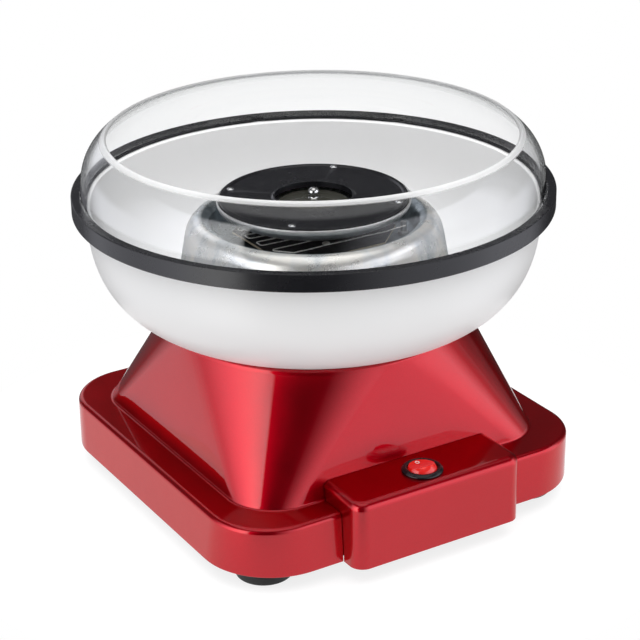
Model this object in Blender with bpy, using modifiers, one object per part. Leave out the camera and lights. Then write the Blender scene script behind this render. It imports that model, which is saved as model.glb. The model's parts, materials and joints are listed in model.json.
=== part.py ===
"""A table-top cotton candy machine: red base, white bowl, clear guard and a spinning sugar head.

Units are metres. +Z is up, -Y is the front with the switch, and the origin is on the spin axis at the
level of the table.
"""

import bmesh
import bpy
from math import acos, atan2, cos, pi, radians, sin, sqrt
from mathutils import Matrix, Vector

# ---------------------------------------------------------------------------------------------------
# Driving dimensions
# ---------------------------------------------------------------------------------------------------
GAP = 0.0003                 # left between two pieces that touch
WALL = 0.0025                # moulded walls of the base

# Base: skirt, shelf and the tower that turns from a square foot to a round top
SKIRT_BOTTOM_Z = 0.0103
SKIRT_BOTTOM_HALF = 0.11735
SKIRT_BOTTOM_CORNER = 0.0429
SHELF_Z = 0.0393
SHELF_EDGE_HALF = 0.1158
SHELF_EDGE_CORNER = 0.0370
SHELF_EDGE_ROUND = 0.0030
TOWER_FOOT_HALF = 0.0980
TOWER_FOOT_CORNER = 0.0292
TOWER_FOOT_ROUND = 0.0014
TOWER_TOP_RADIUS = 0.08755
TOWER_CHAMFER = 0.0023
DECK_Z = 0.1050
DECK_OPENING_RADIUS = 0.0240
CORNER_STEPS = 6             # segments in each rounded corner
FACE_SPREAD = radians(6.0)   # part of the round top that each flat side of the tower runs into

# Switch box across the front
BOX_LEFT_X = -0.0550
BOX_RIGHT_X = 0.0540
BOX_FRONT_Y = -0.1315
BOX_TOP_Z = 0.0500
BOX_BACK_Y = -0.0968           # at the top; the back leans with the tower's face
BOX_BACK_LEAN = 0.175
BOX_CORNER_ROUND = 0.0080
BOX_TOP_ROUND = 0.0052

# Round rocker switch in the top of the box
SWITCH_X = -0.0025
SWITCH_Y = -0.1150
BEZEL_RADIUS = 0.0116
BEZEL_HEIGHT = 0.0019
SWITCH_BODY_RADIUS = 0.0099
SWITCH_BODY_BOTTOM_Z = 0.0360
ROCKER_PIVOT_Z = 0.0478
ROCKER_RADIUS = 0.0090
ROCKER_TILT = radians(10.5)  # either side of level; the front end is up when the switch is off

# Underside
COVER_Z = 0.0116
COVER_THICKNESS = 0.0025
COVER_HALF = 0.1143
COVER_CORNER = 0.0400
FOOT_PLACE = 0.0880
FOOT_RADIUS = 0.0161
COVER_SCREW_X = 0.1060
COVER_SCREW_Y = 0.0450
CORD_X = 0.0700
CORD_Z = 0.0250

# Bowl, rim ring and clear guard
BOWL_WALL = 0.0022
BOWL_TOP_RADIUS = 0.1290
BOWL_WIDE_Z = 0.17165
BOWL_LOW_Z = 0.1045
BOWL_FLAT_RADIUS = 0.0620
BOWL_POWER = 2.45
BOWL_FLANGE_RADIUS = 0.1335
BOWL_FLANGE_Z = 0.1760
BOWL_SEAT_RADIUS = 0.0865
BOWL_HOLE_RADIUS = 0.0816
BOWL_COLLAR_TOP_Z = 0.1130
RING_RADIUS = 0.1370
RING_TOP_Z = 0.1817
RING_BOTTOM_Z = 0.17165
RING_LEDGE_Z = 0.1800
RING_LEDGE_RADIUS = 0.1285
GUARD_BASE_RADIUS = 0.1314
GUARD_RIM_RADIUS = 0.1187
GUARD_RIM_Z = 0.2121
GUARD_EDGE_Z = 0.2134
GUARD_WALL = 0.0020
GUARD_POWER = 2.72
LUG_ANGLES = (34.5, 74.5, 154.5, 194.5, 274.5, 314.5)
LUG_WIDTH = 0.0080

# Spinning head
HEAD_RADIUS = 0.0539
HEAD_TOP_Z = 0.1746
HEAD_BOTTOM_Z = 0.1712
WELL_RADIUS = 0.0222
HUB_PLATE_RADIUS = 0.0206
PAN_RADIUS = 0.0553
PAN_FLOOR_Z = 0.1626
PAN_WALL = 0.0011
RIVET_CIRCLE = 0.0493
SPINDLE_RADIUS = 0.00315
SPINDLE_BORE = 0.00345
BALL_Z = 0.1760
DRIVE_PIN_Z = 0.1530

# Heater: polished bowl, board and wire
HEATER_WALL = 0.0012
HEATER_FLOOR_Z = 0.1474
HEATER_CREST_Z = 0.1636
HEATER_FOOT_RADIUS = 0.0800
BOARD_HALF = 0.0420
BOARD_CHAMFER = 0.0210
BOARD_Z = 0.1532
BOARD_THICKNESS = 0.0012
WIRE_RADIUS = 0.0005
WIRE_ROWS = (0.0100, 0.0185, 0.0290)
POST_PLACES = ((-0.008, -0.026), (-0.008, 0.026), (0.032, 0.0))
TERMINAL_X = 0.0450
TERMINAL_Y = 0.0245

# Motor and its bracket
MOTOR_RADIUS = 0.0180
MOTOR_TOP_Z = 0.0923
MOTOR_BOTTOM_Z = 0.0400
BRACKET_Z = 0.0926
BRACKET_THICKNESS = 0.0020
BRACKET_RADIUS = 0.0390
BRACKET_SCREW_CIRCLE = 0.0325

# Rectifier board on the base cover
BOARD_LOW_X = 0.0300
BOARD_LOW_Y = 0.0320
CIRCUIT_LENGTH = 0.0460
CIRCUIT_WIDTH = 0.0320
CIRCUIT_Z = 0.0200
CIRCUIT_THICKNESS = 0.0016

ROUND_STEPS = 40             # segments of the large turned pieces
MIDDLE_STEPS = 32            # segments of the head and the heater
SMALL_STEPS = 12             # segments of the small turned pieces


# ---------------------------------------------------------------------------------------------------
# Scene, collections and materials
# ---------------------------------------------------------------------------------------------------
for old in list(bpy.data.objects):
    bpy.data.objects.remove(old, do_unlink=True)


def new_collection(name, hidden=False):
    made = bpy.data.collections.new(name)
    bpy.context.scene.collection.children.link(made)
    made.hide_render = hidden
    return made


PARTS = new_collection("cotton_candy_machine")
CUTTERS = new_collection("cutters", hidden=True)


def material(name, colour, roughness, metallic=0.0, transmission=0.0):
    made = bpy.data.materials.new(name)
    made.use_nodes = True
    shader = made.node_tree.nodes["Principled BSDF"]
    shader.inputs["Base Color"].default_value = (*colour, 1.0)
    shader.inputs["Roughness"].default_value = roughness
    shader.inputs["Metallic"].default_value = metallic
    shader.inputs["Transmission Weight"].default_value = transmission
    made.diffuse_color = (*colour, 1.0)
    made.metallic = metallic
    made.roughness = roughness
    return made


RED_PAINT = ("candy_red_paint", (0.45, 0.01, 0.02), 0.15, 0.3)
RED_ROCKER = ("red_rocker_plastic", (0.75, 0.02, 0.01), 0.25)
BLACK_PLASTIC = ("black_plastic", (0.02, 0.02, 0.025), 0.35)
WHITE_PLASTIC = ("white_plastic", (0.85, 0.85, 0.87), 0.2)
CLEAR_PLASTIC = ("clear_plastic", (0.95, 0.97, 1.0), 0.03, 0.0, 1.0)
RUBBER = ("black_rubber", (0.015, 0.015, 0.015), 0.7)
ALUMINIUM = ("polished_aluminium", (0.85, 0.85, 0.85), 0.12, 1.0)
STEEL = ("steel", (0.6, 0.6, 0.6), 0.3, 1.0)
BRASS = ("brass", (0.75, 0.55, 0.25), 0.3, 1.0)
COPPER = ("copper_windings", (0.7, 0.3, 0.15), 0.35, 1.0)
MAGNET = ("ferrite", (0.06, 0.06, 0.06), 0.6)
MICA = ("mica", (0.12, 0.09, 0.07), 0.45)
NICHROME = ("nichrome", (0.7, 0.68, 0.62), 0.25, 1.0)
CERAMIC = ("ceramic", (0.85, 0.83, 0.78), 0.4)
CIRCUIT_GREEN = ("circuit_board", (0.02, 0.18, 0.06), 0.45)
WIRE_SLEEVE = ("silicone_sleeve", (0.8, 0.8, 0.78), 0.5)


def dress(made, look):
    """Gives the object its own material, so that no two pieces share one."""
    values = look[1:]
    made.data.materials.append(material(made.name + "_" + look[0], *values))
    return made


# ---------------------------------------------------------------------------------------------------
# Shape tools
# ---------------------------------------------------------------------------------------------------
def mesh_object(name, mesh, look=None):
    made = bpy.data.objects.new(name, mesh)
    if look is None:
        CUTTERS.objects.link(made)
        made.hide_render = True
        made.display_type = "WIRE"
        return made
    PARTS.objects.link(made)
    return dress(made, look)


def shade(made, limit=radians(35.0)):
    made.data.shade_smooth()
    made.data.set_sharp_from_angle(angle=limit)


def turned(name, profile, look=None, loop=False, wall=0.0, steps=SMALL_STEPS):
    """Turns (radius, height) points about Z: outer side from top to bottom, then back up inside."""
    mesh = bpy.data.meshes.new(name)
    points = [(radius, 0.0, height) for radius, height in profile]
    edges = [(index, index + 1) for index in range(len(points) - 1)]
    if loop:
        edges.append((len(points) - 1, 0))
    mesh.from_pydata(points, edges, [])
    made = mesh_object(name, mesh, look)
    screw = made.modifiers.new("turn", "SCREW")
    screw.steps = steps
    screw.render_steps = steps
    screw.use_merge_vertices = True
    screw.merge_threshold = 0.00001
    screw.use_smooth_shade = True
    if wall:
        solidify = made.modifiers.new("wall", "SOLIDIFY")
        solidify.thickness = wall
        solidify.offset = -1.0
        solidify.use_even_offset = True
    return made


def box(name, low, high, look=None):
    """A box between two opposite corners."""
    shape = bmesh.new()
    bmesh.ops.create_cube(shape, size=1.0)
    place_box(shape.verts, low, high)
    mesh = bpy.data.meshes.new(name)
    shape.to_mesh(mesh)
    shape.free()
    return mesh_object(name, mesh, look)


def place_box(verts, low, high):
    low, high = Vector(low), Vector(high)
    size = high - low
    middle = (high + low) / 2
    for vert in verts:
        vert.co = Vector((vert.co.x * size.x, vert.co.y * size.y, vert.co.z * size.z)) + middle


def boxes(name, corners):
    """One mesh that holds a separate box for each pair of corners."""
    shape = bmesh.new()
    for low, high in corners:
        made = bmesh.ops.create_cube(shape, size=1.0)
        place_box(made["verts"], low, high)
    mesh = bpy.data.meshes.new(name)
    shape.to_mesh(mesh)
    shape.free()
    return mesh_object(name, mesh)


def rods(name, places, radius, low, high, steps=12):
    """One mesh that holds an upright cylinder at each (x, y) place."""
    shape = bmesh.new()
    for x, y in places:
        bmesh.ops.create_cone(
            shape, cap_ends=True, segments=steps, radius1=radius, radius2=radius, depth=high - low,
            matrix=Matrix.Translation((x, y, (low + high) / 2)),
        )
    mesh = bpy.data.meshes.new(name)
    shape.to_mesh(mesh)
    shape.free()
    return mesh_object(name, mesh)


def flat_piece(name, outlines, low, high, look):
    """A flat plate between two heights: the first outline, less the ones inside it."""
    curve = bpy.data.curves.new(name, "CURVE")
    curve.dimensions = "2D"
    curve.fill_mode = "BOTH"
    curve.extrude = (high - low) / 2
    for outline in outlines:
        spline = curve.splines.new("POLY")
        spline.points.add(len(outline) - 1)
        spline.use_cyclic_u = True
        for point, (x, y) in zip(spline.points, outline):
            point.co = (x, y, 0.0, 1.0)
    made = bpy.data.objects.new(name, curve)
    made.location.z = (low + high) / 2
    PARTS.objects.link(made)
    return dress(made, look)


def wire(name, route, radius, look, rings=2):
    """A round wire along a list of points."""
    curve = bpy.data.curves.new(name, "CURVE")
    curve.dimensions = "3D"
    curve.bevel_depth = radius
    curve.bevel_resolution = rings
    curve.use_fill_caps = True
    spline = curve.splines.new("POLY")
    spline.points.add(len(route) - 1)
    for point, place in zip(spline.points, route):
        point.co = (*place, 1.0)
    made = bpy.data.objects.new(name, curve)
    PARTS.objects.link(made)
    return dress(made, look)


def as_mesh(made):
    """Turns a curve object into a welded mesh object of the same name, so that it can be cut."""
    bpy.context.view_layer.update()
    evaluated = made.evaluated_get(bpy.context.evaluated_depsgraph_get())
    mesh = bpy.data.meshes.new_from_object(evaluated)
    shape = bmesh.new()
    shape.from_mesh(mesh)
    bmesh.ops.remove_doubles(shape, verts=shape.verts, dist=0.000001)
    shape.to_mesh(mesh)
    shape.free()
    name = made.name
    place = made.matrix_world.copy()
    bpy.data.objects.remove(made, do_unlink=True)
    swapped = bpy.data.objects.new(name, mesh)
    swapped.matrix_world = place
    PARTS.objects.link(swapped)
    return swapped


def combine(made, other, operation):
    step = made.modifiers.new(operation.lower() + "_" + other.name, "BOOLEAN")
    step.operation = operation
    step.solver = "EXACT"
    step.object = other
    return made


def cut(made, cutter):
    return combine(made, cutter, "DIFFERENCE")


def join(made, other):
    return combine(made, other, "UNION")


def circle(radius, steps=SMALL_STEPS, centre=(0.0, 0.0)):
    return [
        (centre[0] + radius * cos(2 * pi * step / steps), centre[1] + radius * sin(2 * pi * step / steps))
        for step in range(steps)
    ]


def around(count, radius, start=0.0):
    """Places spread evenly on a circle about the spin axis."""
    turns = [start + 2 * pi * index / count for index in range(count)]
    return [(radius * cos(turn), radius * sin(turn)) for turn in turns]


def smooth_route(points, spacing=0.006):
    """Points along a smooth curve through the given ones, about one spacing apart."""
    points = [Vector(point) for point in points]
    ends = [2 * points[0] - points[1]] + points + [2 * points[-1] - points[-2]]
    route = [points[0]]
    for before, start, end, after in zip(ends, ends[1:], ends[2:], ends[3:]):
        pieces = max(1, round((end - start).length / spacing))
        for piece in range(1, pieces + 1):
            t = piece / pieces
            route.append(0.5 * (
                2 * start + (end - before) * t + (2 * before - 5 * start + 4 * end - after) * t ** 2
                + (3 * start - before - 3 * end + after) * t ** 3
            ))
    return route


def quarter_curve(start, end, power, steps):
    """From start, where the wall stands upright, round to end, where it lies flat."""
    points = []
    for step in range(steps + 1):
        turn = pi / 2 * step / steps
        across = max(cos(turn), 0.0) ** (2 / power)
        along = sin(turn) ** (2 / power)
        points.append((end[0] + (start[0] - end[0]) * across, start[1] + (end[1] - start[1]) * along))
    return points


# ---------------------------------------------------------------------------------------------------
# Base housing
# ---------------------------------------------------------------------------------------------------
def quarter_turned(point, quadrant):
    x, y = point
    for _ in range(quadrant):
        x, y = -y, x
    return x, y


def square_section(half, corner, height):
    """A rounded square, listed from the middle of its +X side."""
    section = []
    for quadrant in range(4):
        section.append(quarter_turned((half, 0.0), quadrant))
        for step in range(CORNER_STEPS + 1):
            turn = pi / 2 * step / CORNER_STEPS
            place = (half - corner + corner * cos(turn), half - corner + corner * sin(turn))
            section.append(quarter_turned(place, quadrant))
    return [Vector((x, y, height)) for x, y in section]


def round_section(radius, height):
    """A circle with its points matched to those of a rounded square."""
    section = []
    for quadrant in range(4):
        turns = [0.0]
        for step in range(CORNER_STEPS + 1):
            turns.append(FACE_SPREAD + (pi / 2 - 2 * FACE_SPREAD) * step / CORNER_STEPS)
        for turn in turns:
            section.append((radius * cos(turn + quadrant * pi / 2), radius * sin(turn + quadrant * pi / 2)))
    return [Vector((x, y, height)) for x, y in section]


def between(low, high, share):
    return [start.lerp(end, share) for start, end in zip(low, high)]


def loft(name, sections, look):
    """Joins sections of equal length, listed from the bottom up, with faces that point out."""
    shape = bmesh.new()
    rings = [[shape.verts.new(point) for point in section] for section in sections]
    for low, high in zip(rings, rings[1:]):
        for index in range(len(low)):
            after = (index + 1) % len(low)
            shape.faces.new((low[index], low[after], high[after], high[index]))
    mesh = bpy.data.meshes.new(name)
    shape.to_mesh(mesh)
    shape.free()
    return mesh_object(name, mesh, look)


def housing_sections():
    sections = [square_section(SKIRT_BOTTOM_HALF, SKIRT_BOTTOM_CORNER, SKIRT_BOTTOM_Z)]
    for turn in (0.0, pi / 6, pi / 3, pi / 2):
        inset = SHELF_EDGE_ROUND * (1 - cos(turn))
        height = SHELF_Z - SHELF_EDGE_ROUND * (1 - sin(turn))
        sections.append(square_section(SHELF_EDGE_HALF - inset, SHELF_EDGE_CORNER - inset, height))
    for turn in (0.0, pi / 4, pi / 2):
        grown = TOWER_FOOT_ROUND * (1 - sin(turn))
        height = SHELF_Z + TOWER_FOOT_ROUND * (1 - cos(turn))
        sections.append(square_section(TOWER_FOOT_HALF + grown, TOWER_FOOT_CORNER + grown, height))
    foot = sections[-1]
    top = round_section(TOWER_TOP_RADIUS, DECK_Z - TOWER_CHAMFER)
    for share in (0.5, 1.0):
        sections.append(between(foot, top, share))
    sections.append(round_section(TOWER_TOP_RADIUS - TOWER_CHAMFER, DECK_Z))
    sections.append(round_section(DECK_OPENING_RADIUS, DECK_Z))
    return sections


def cover_screw_places():
    return [(side * COVER_SCREW_X, end * COVER_SCREW_Y) for side in (-1, 1) for end in (-1, 1)]


def bracket_screw_places():
    return around(3, BRACKET_SCREW_CIRCLE, start=pi / 2)


def base_housing():
    housing = loft("base_housing", housing_sections(), RED_PAINT)
    wall = housing.modifiers.new("wall", "SOLIDIFY")
    wall.thickness = WALL
    wall.offset = -1.0
    wall.use_even_offset = True
    shade(housing)
    deck_under = DECK_Z - WALL
    shelf_under = SHELF_Z - WALL
    cover_top = COVER_Z + COVER_THICKNESS
    join(housing, rods("bracket_bosses", bracket_screw_places(), 0.0045, 0.0964, deck_under + 0.0008))
    join(housing, rods("cover_bosses", cover_screw_places(), 0.0045, cover_top + GAP, shelf_under + 0.0008))
    cut(housing, rods("bracket_screw_holes", bracket_screw_places(), 0.0023, 0.0900, 0.1015))
    cut(housing, rods("cover_screw_holes", cover_screw_places(), 0.0019, 0.0100, 0.0300))
    leads = [(TERMINAL_X, side * TERMINAL_Y) for side in (-1, 1)]
    cut(housing, rods("lead_holes", leads, 0.0030, deck_under - 0.005, DECK_Z + 0.005))
    notch_low = (BOX_LEFT_X - GAP, BOX_FRONT_Y - 0.010, 0.0)
    notch_high = (BOX_RIGHT_X + GAP, -TOWER_FOOT_HALF - TOWER_FOOT_ROUND - 0.0002, SHELF_Z + 0.010)
    cut(housing, box("box_notch", notch_low, notch_high))
    inlet = turned("inlet_hole", [(0.0, 0.13), (0.0072, 0.13), (0.0072, 0.10), (0.0, 0.10)])
    inlet.rotation_euler = (radians(-90.0), 0.0, 0.0)
    inlet.location = (CORD_X, 0.0, CORD_Z)
    cut(housing, inlet)
    return housing


# ---------------------------------------------------------------------------------------------------
# Switch box and rocker switch
# ---------------------------------------------------------------------------------------------------
def rounded_box_mesh(name, low, high, corner, top):
    """A box that leans at the back, with its upright front edges and then its top edges rounded."""
    shape = bmesh.new()
    bmesh.ops.create_cube(shape, size=1.0)
    place_box(shape.verts, low, high)
    front, back, roof = low[1], high[1], high[2]
    for vert in shape.verts:
        if vert.co.y > front + 1e-6:
            vert.co.y -= BOX_BACK_LEAN * (roof - vert.co.z)
    upright = [
        edge for edge in shape.edges
        if all(abs(vert.co.y - front) < 1e-6 for vert in edge.verts)
        and abs(edge.verts[0].co.z - edge.verts[1].co.z) > 1e-6
    ]
    bmesh.ops.bevel(shape, geom=upright, offset=corner, segments=5, profile=0.5, affect="EDGES")
    rim = [
        edge for edge in shape.edges
        if all(abs(vert.co.z - roof) < 1e-6 for vert in edge.verts)
        and not all(abs(vert.co.y - back) < 1e-6 for vert in edge.verts)
    ]
    bmesh.ops.bevel(shape, geom=rim, offset=top, segments=4, profile=0.5, affect="EDGES")
    mesh = bpy.data.meshes.new(name)
    shape.to_mesh(mesh)
    shape.free()
    return mesh


def switch_box():
    low = (BOX_LEFT_X, BOX_FRONT_Y, SKIRT_BOTTOM_Z)
    high = (BOX_RIGHT_X, BOX_BACK_Y, BOX_TOP_Z)
    outside = rounded_box_mesh("switch_box", low, high, BOX_CORNER_ROUND, BOX_TOP_ROUND)
    shell = mesh_object("switch_box", outside, RED_PAINT)
    shade(shell)
    inner_low = (low[0] + WALL, low[1] + WALL, low[2] - 0.010)
    inner_high = (high[0] - WALL, high[1] + 0.010, high[2] - WALL)
    hollow = rounded_box_mesh("box_hollow", inner_low, inner_high, BOX_CORNER_ROUND - WALL,
                              BOX_TOP_ROUND - WALL)
    cut(shell, mesh_object("box_hollow", hollow))
    foot_y = -TOWER_FOOT_HALF - TOWER_FOOT_ROUND - 0.0006
    clear_low = (low[0] - 0.010, foot_y, low[2] - 0.010)
    clear_high = (high[0] + 0.010, high[1] + 0.010, SHELF_Z + TOWER_FOOT_ROUND + 0.0006)
    tower_relief = (clear_low, clear_high)
    cover_relief = (
        (low[0] - 0.010, -SKIRT_BOTTOM_HALF - GAP, low[2] - 0.010),
        (high[0] + 0.010, foot_y + 0.001, COVER_Z + COVER_THICKNESS + GAP),
    )
    cut(shell, box("tower_relief", *tower_relief))
    cut(shell, box("cover_relief", *cover_relief))
    cut(shell, rods("switch_hole", [(SWITCH_X, SWITCH_Y)], SWITCH_BODY_RADIUS + GAP,
                    BOX_TOP_Z - 0.010, BOX_TOP_Z + 0.010, steps=36))
    return shell


def switch_body():
    seat = BOX_TOP_Z + GAP
    top = seat + BEZEL_HEIGHT
    inside = ROCKER_RADIUS + 0.00025
    profile = [
        (inside - 0.0009, top),
        (BEZEL_RADIUS - 0.0014, top - 0.0001),
        (BEZEL_RADIUS - 0.0004, top - 0.0006),
        (BEZEL_RADIUS, top - 0.0013),
        (BEZEL_RADIUS, seat),
        (SWITCH_BODY_RADIUS, seat),
        (SWITCH_BODY_RADIUS, SWITCH_BODY_BOTTOM_Z),
        (0.0, SWITCH_BODY_BOTTOM_Z),
        (0.0, SWITCH_BODY_BOTTOM_Z + 0.0025),
        (inside, SWITCH_BODY_BOTTOM_Z + 0.0025),
        (inside, top - 0.0020),
        (inside - 0.0009, top),
    ]
    body = turned("switch_body", profile, BLACK_PLASTIC, steps=20)
    body.location = (SWITCH_X, SWITCH_Y, 0.0)
    return body


def switch_terminal(number, offset):
    low = (SWITCH_X - 0.0024, SWITCH_Y + offset - 0.0004, SWITCH_BODY_BOTTOM_Z - 0.0080)
    high = (SWITCH_X + 0.0024, SWITCH_Y + offset + 0.0004, SWITCH_BODY_BOTTOM_Z - GAP)
    return box("switch_terminal_" + str(number), low, high, BRASS)


def rocker():
    """A ball about the pivot, flat below and dished on top, turned so that its front end is up."""
    shape = bmesh.new()
    bmesh.ops.create_uvsphere(shape, u_segments=24, v_segments=12, radius=ROCKER_RADIUS)
    everything = list(shape.verts) + list(shape.edges) + list(shape.faces)
    cut_below = bmesh.ops.bisect_plane(
        shape, geom=everything, plane_co=(0.0, 0.0, -0.0040), plane_no=(0.0, 0.0, -1.0), clear_outer=True,
    )
    edges = [item for item in cut_below["geom_cut"] if isinstance(item, bmesh.types.BMEdge)]
    bmesh.ops.edgenet_fill(shape, edges=edges)
    bmesh.ops.recalc_face_normals(shape, faces=shape.faces)
    mesh = bpy.data.meshes.new("rocker")
    shape.to_mesh(mesh)
    shape.free()
    paddle = mesh_object("rocker", mesh, RED_ROCKER)
    shade(paddle)
    dish_radius = 0.0300
    drum = [(0.0, 0.02), (dish_radius, 0.02), (dish_radius, -0.02), (0.0, -0.02)]
    dish = turned("rocker_dish", drum, steps=96)
    dish.rotation_euler = (0.0, radians(90.0), 0.0)
    dish.location = (0.0, 0.0, dish_radius + 0.0052)
    dish.parent = paddle
    cut(paddle, dish)
    paddle.location = (SWITCH_X, SWITCH_Y, ROCKER_PIVOT_Z)
    paddle.rotation_euler = (-ROCKER_TILT, 0.0, 0.0)
    return paddle


# ---------------------------------------------------------------------------------------------------
# Underside
# ---------------------------------------------------------------------------------------------------
def foot_places():
    names = ("front_left", "front_right", "back_left", "back_right")
    places = ((-1, -1), (1, -1), (-1, 1), (1, 1))
    return [(name, x * FOOT_PLACE, y * FOOT_PLACE) for name, (x, y) in zip(names, places)]


def cover_outline():
    """The rounded square inside the skirt, with a tongue that closes the switch box."""
    outline = []
    for point in square_section(COVER_HALF, COVER_CORNER, 0.0):
        if abs(point.x) < 1e-6 and point.y < 0:
            left, right = BOX_LEFT_X + WALL + 0.0005, BOX_RIGHT_X - WALL - 0.0005
            front = BOX_FRONT_Y + WALL + 0.0006
            corner = BOX_CORNER_ROUND - WALL
            root = -COVER_HALF + 0.0005
            outline.append((left, root))
            outline.append((left, front + corner))
            outline.append((left + corner, front))
            outline.append((right - corner, front))
            outline.append((right, front + corner))
            outline.append((right, root))
        else:
            outline.append((point.x, point.y))
    return outline


def circuit_posts():
    inset = 0.004
    xs = (BOARD_LOW_X + inset, BOARD_LOW_X + CIRCUIT_LENGTH - inset)
    ys = (BOARD_LOW_Y + inset, BOARD_LOW_Y + CIRCUIT_WIDTH - inset)
    return [(x, y) for x in xs for y in ys]


def base_cover():
    top = COVER_Z + COVER_THICKNESS
    cover = as_mesh(flat_piece("base_cover", [cover_outline()], COVER_Z, top, BLACK_PLASTIC))
    join(cover, rods("circuit_posts", circuit_posts(), 0.0028, COVER_Z + 0.001, CIRCUIT_Z - GAP, steps=16))
    cut(cover, rods("foot_holes", [(x, y) for _, x, y in foot_places()], 0.0043, 0.0, 0.020))
    cut(cover, rods("cover_holes", cover_screw_places(), 0.0019, 0.0, 0.020, steps=16))
    slots = []
    for index in range(-3, 4):
        x = 0.0085 * index
        slots.append(((x - 0.0015, -0.026, 0.0), (x + 0.0015, 0.026, 0.020)))
    cut(cover, boxes("air_slots", slots))
    return cover


def foot(name, x, y):
    """A push-in rubber foot: a flat pad, and a stem with a bulb above the cover."""
    top = COVER_Z + COVER_THICKNESS
    profile = [
        (0.0, top + 0.0036),
        (0.0034, top + 0.0036),
        (0.0056, top + 0.0016),
        (0.0056, top + GAP),
        (0.0040, top + GAP),
        (0.0040, COVER_Z - GAP),
        (0.0125, COVER_Z - GAP),
        (0.0150, 0.0085),
        (FOOT_RADIUS, 0.0045),
        (FOOT_RADIUS, 0.0015),
        (FOOT_RADIUS - 0.0014, 0.0),
        (0.0, 0.0),
    ]
    made = turned("foot_" + name, profile, RUBBER, steps=16)
    made.location = (x, y, 0.0)
    return made


def cover_screw(number, x, y):
    under = COVER_Z - GAP
    profile = [
        (0.0, 0.0260),
        (0.0016, 0.0245),
        (0.0016, under),
        (0.0038, under),
        (0.0036, under - 0.0015),
        (0.0022, under - 0.0022),
        (0.0, under - 0.0023),
    ]
    made = turned("cover_screw_" + str(number), profile, STEEL, steps=12)
    made.location = (x, y, 0.0)
    return made


def cord_bush():
    """A rubber bush with a groove that sits round the edge of the inlet hole."""
    profile = [
        (0.0042, 0.1205),
        (0.0080, 0.1205),
        (0.0095, 0.1195),
        (0.0095, 0.1174),
        (0.0069, 0.1174),
        (0.0069, 0.1132),
        (0.0090, 0.1132),
        (0.0082, 0.1105),
        (0.0042, 0.1105),
    ]
    bush = turned("cord_bush", profile, RUBBER, loop=True, steps=18)
    bush.rotation_euler = (radians(-90.0), 0.0, 0.0)
    bush.location = (CORD_X, 0.0, CORD_Z)
    return bush


# ---------------------------------------------------------------------------------------------------
# Bowl, ring and guard
# ---------------------------------------------------------------------------------------------------
def bowl():
    """White bowl: outside from the flange down to the seat, then up the collar of the centre hole."""
    wall = quarter_curve((BOWL_TOP_RADIUS, BOWL_WIDE_Z), (BOWL_FLAT_RADIUS, BOWL_LOW_Z), BOWL_POWER, 9)
    wall = [point for point in wall if point[0] > BOWL_SEAT_RADIUS + 0.0015]
    seat = DECK_Z + GAP
    profile = [(BOWL_FLANGE_RADIUS, BOWL_FLANGE_Z), (BOWL_TOP_RADIUS, BOWL_FLANGE_Z)] + wall + [
        (BOWL_SEAT_RADIUS - 0.0009, seat),
        (BOWL_HOLE_RADIUS + 0.0003, seat),
        (BOWL_HOLE_RADIUS, BOWL_COLLAR_TOP_Z),
    ]
    return turned("bowl", profile, WHITE_PLASTIC, wall=BOWL_WALL, steps=ROUND_STEPS)


def lug_blocks(name, grow, low, high):
    """A block at each guard lug, across the ledge of the ring."""
    shape = bmesh.new()
    inner, outer = GUARD_BASE_RADIUS - 0.0020 - grow, GUARD_BASE_RADIUS + grow
    half = LUG_WIDTH / 2 + grow
    for angle in LUG_ANGLES:
        made = bmesh.ops.create_cube(shape, size=1.0)
        place_box(made["verts"], (inner, -half, low), (outer, half, high))
        turn = Matrix.Rotation(radians(angle), 3, "Z")
        bmesh.ops.rotate(shape, verts=made["verts"], cent=(0, 0, 0), matrix=turn)
    mesh = bpy.data.meshes.new(name)
    shape.to_mesh(mesh)
    shape.free()
    return mesh_object(name, mesh)


def rim_ring():
    """Black ring: outer band, top face, and a ledge inside it that the guard stands on."""
    web = BOWL_FLANGE_Z + BOWL_WALL + GAP
    step_radius = GUARD_BASE_RADIUS + GAP
    profile = [
        (step_radius + 0.0005, RING_TOP_Z),
        (RING_RADIUS - 0.0005, RING_TOP_Z),
        (RING_RADIUS, RING_TOP_Z - 0.0005),
        (RING_RADIUS, RING_BOTTOM_Z + 0.0007),
        (RING_RADIUS - 0.0007, RING_BOTTOM_Z),
        (BOWL_FLANGE_RADIUS + 0.0005, RING_BOTTOM_Z),
        (BOWL_FLANGE_RADIUS + 0.0005, web),
        (RING_LEDGE_RADIUS, web),
        (RING_LEDGE_RADIUS, RING_LEDGE_Z - 0.0004),
        (RING_LEDGE_RADIUS + 0.0004, RING_LEDGE_Z),
        (step_radius, RING_LEDGE_Z),
        (step_radius, RING_TOP_Z - 0.0004),
    ]
    ring = turned("rim_ring", profile, BLACK_PLASTIC, loop=True, steps=ROUND_STEPS)
    return cut(ring, lug_blocks("lug_notches", 0.0004, web - 0.001, RING_LEDGE_Z + 0.001))


def guard_radius(height):
    """Outer radius of the clear wall at a height above the ring's top."""
    share = (GUARD_RIM_RADIUS / GUARD_BASE_RADIUS) ** GUARD_POWER
    full = (GUARD_RIM_Z - RING_TOP_Z) / (1 - share) ** (1 / GUARD_POWER)
    rise = max(height - RING_TOP_Z, 0.0) / full
    return GUARD_BASE_RADIUS * (1 - rise ** GUARD_POWER) ** (1 / GUARD_POWER)


def guard_across(height, depth):
    """Point of the clear wall that lies depth in from its outer face, square to that face."""
    step = 0.0002
    slope = (guard_radius(height + step) - guard_radius(height - step)) / (2 * step)
    length = sqrt(1 + slope ** 2)
    return guard_radius(height) - depth / length, height + depth * slope / length


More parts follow.
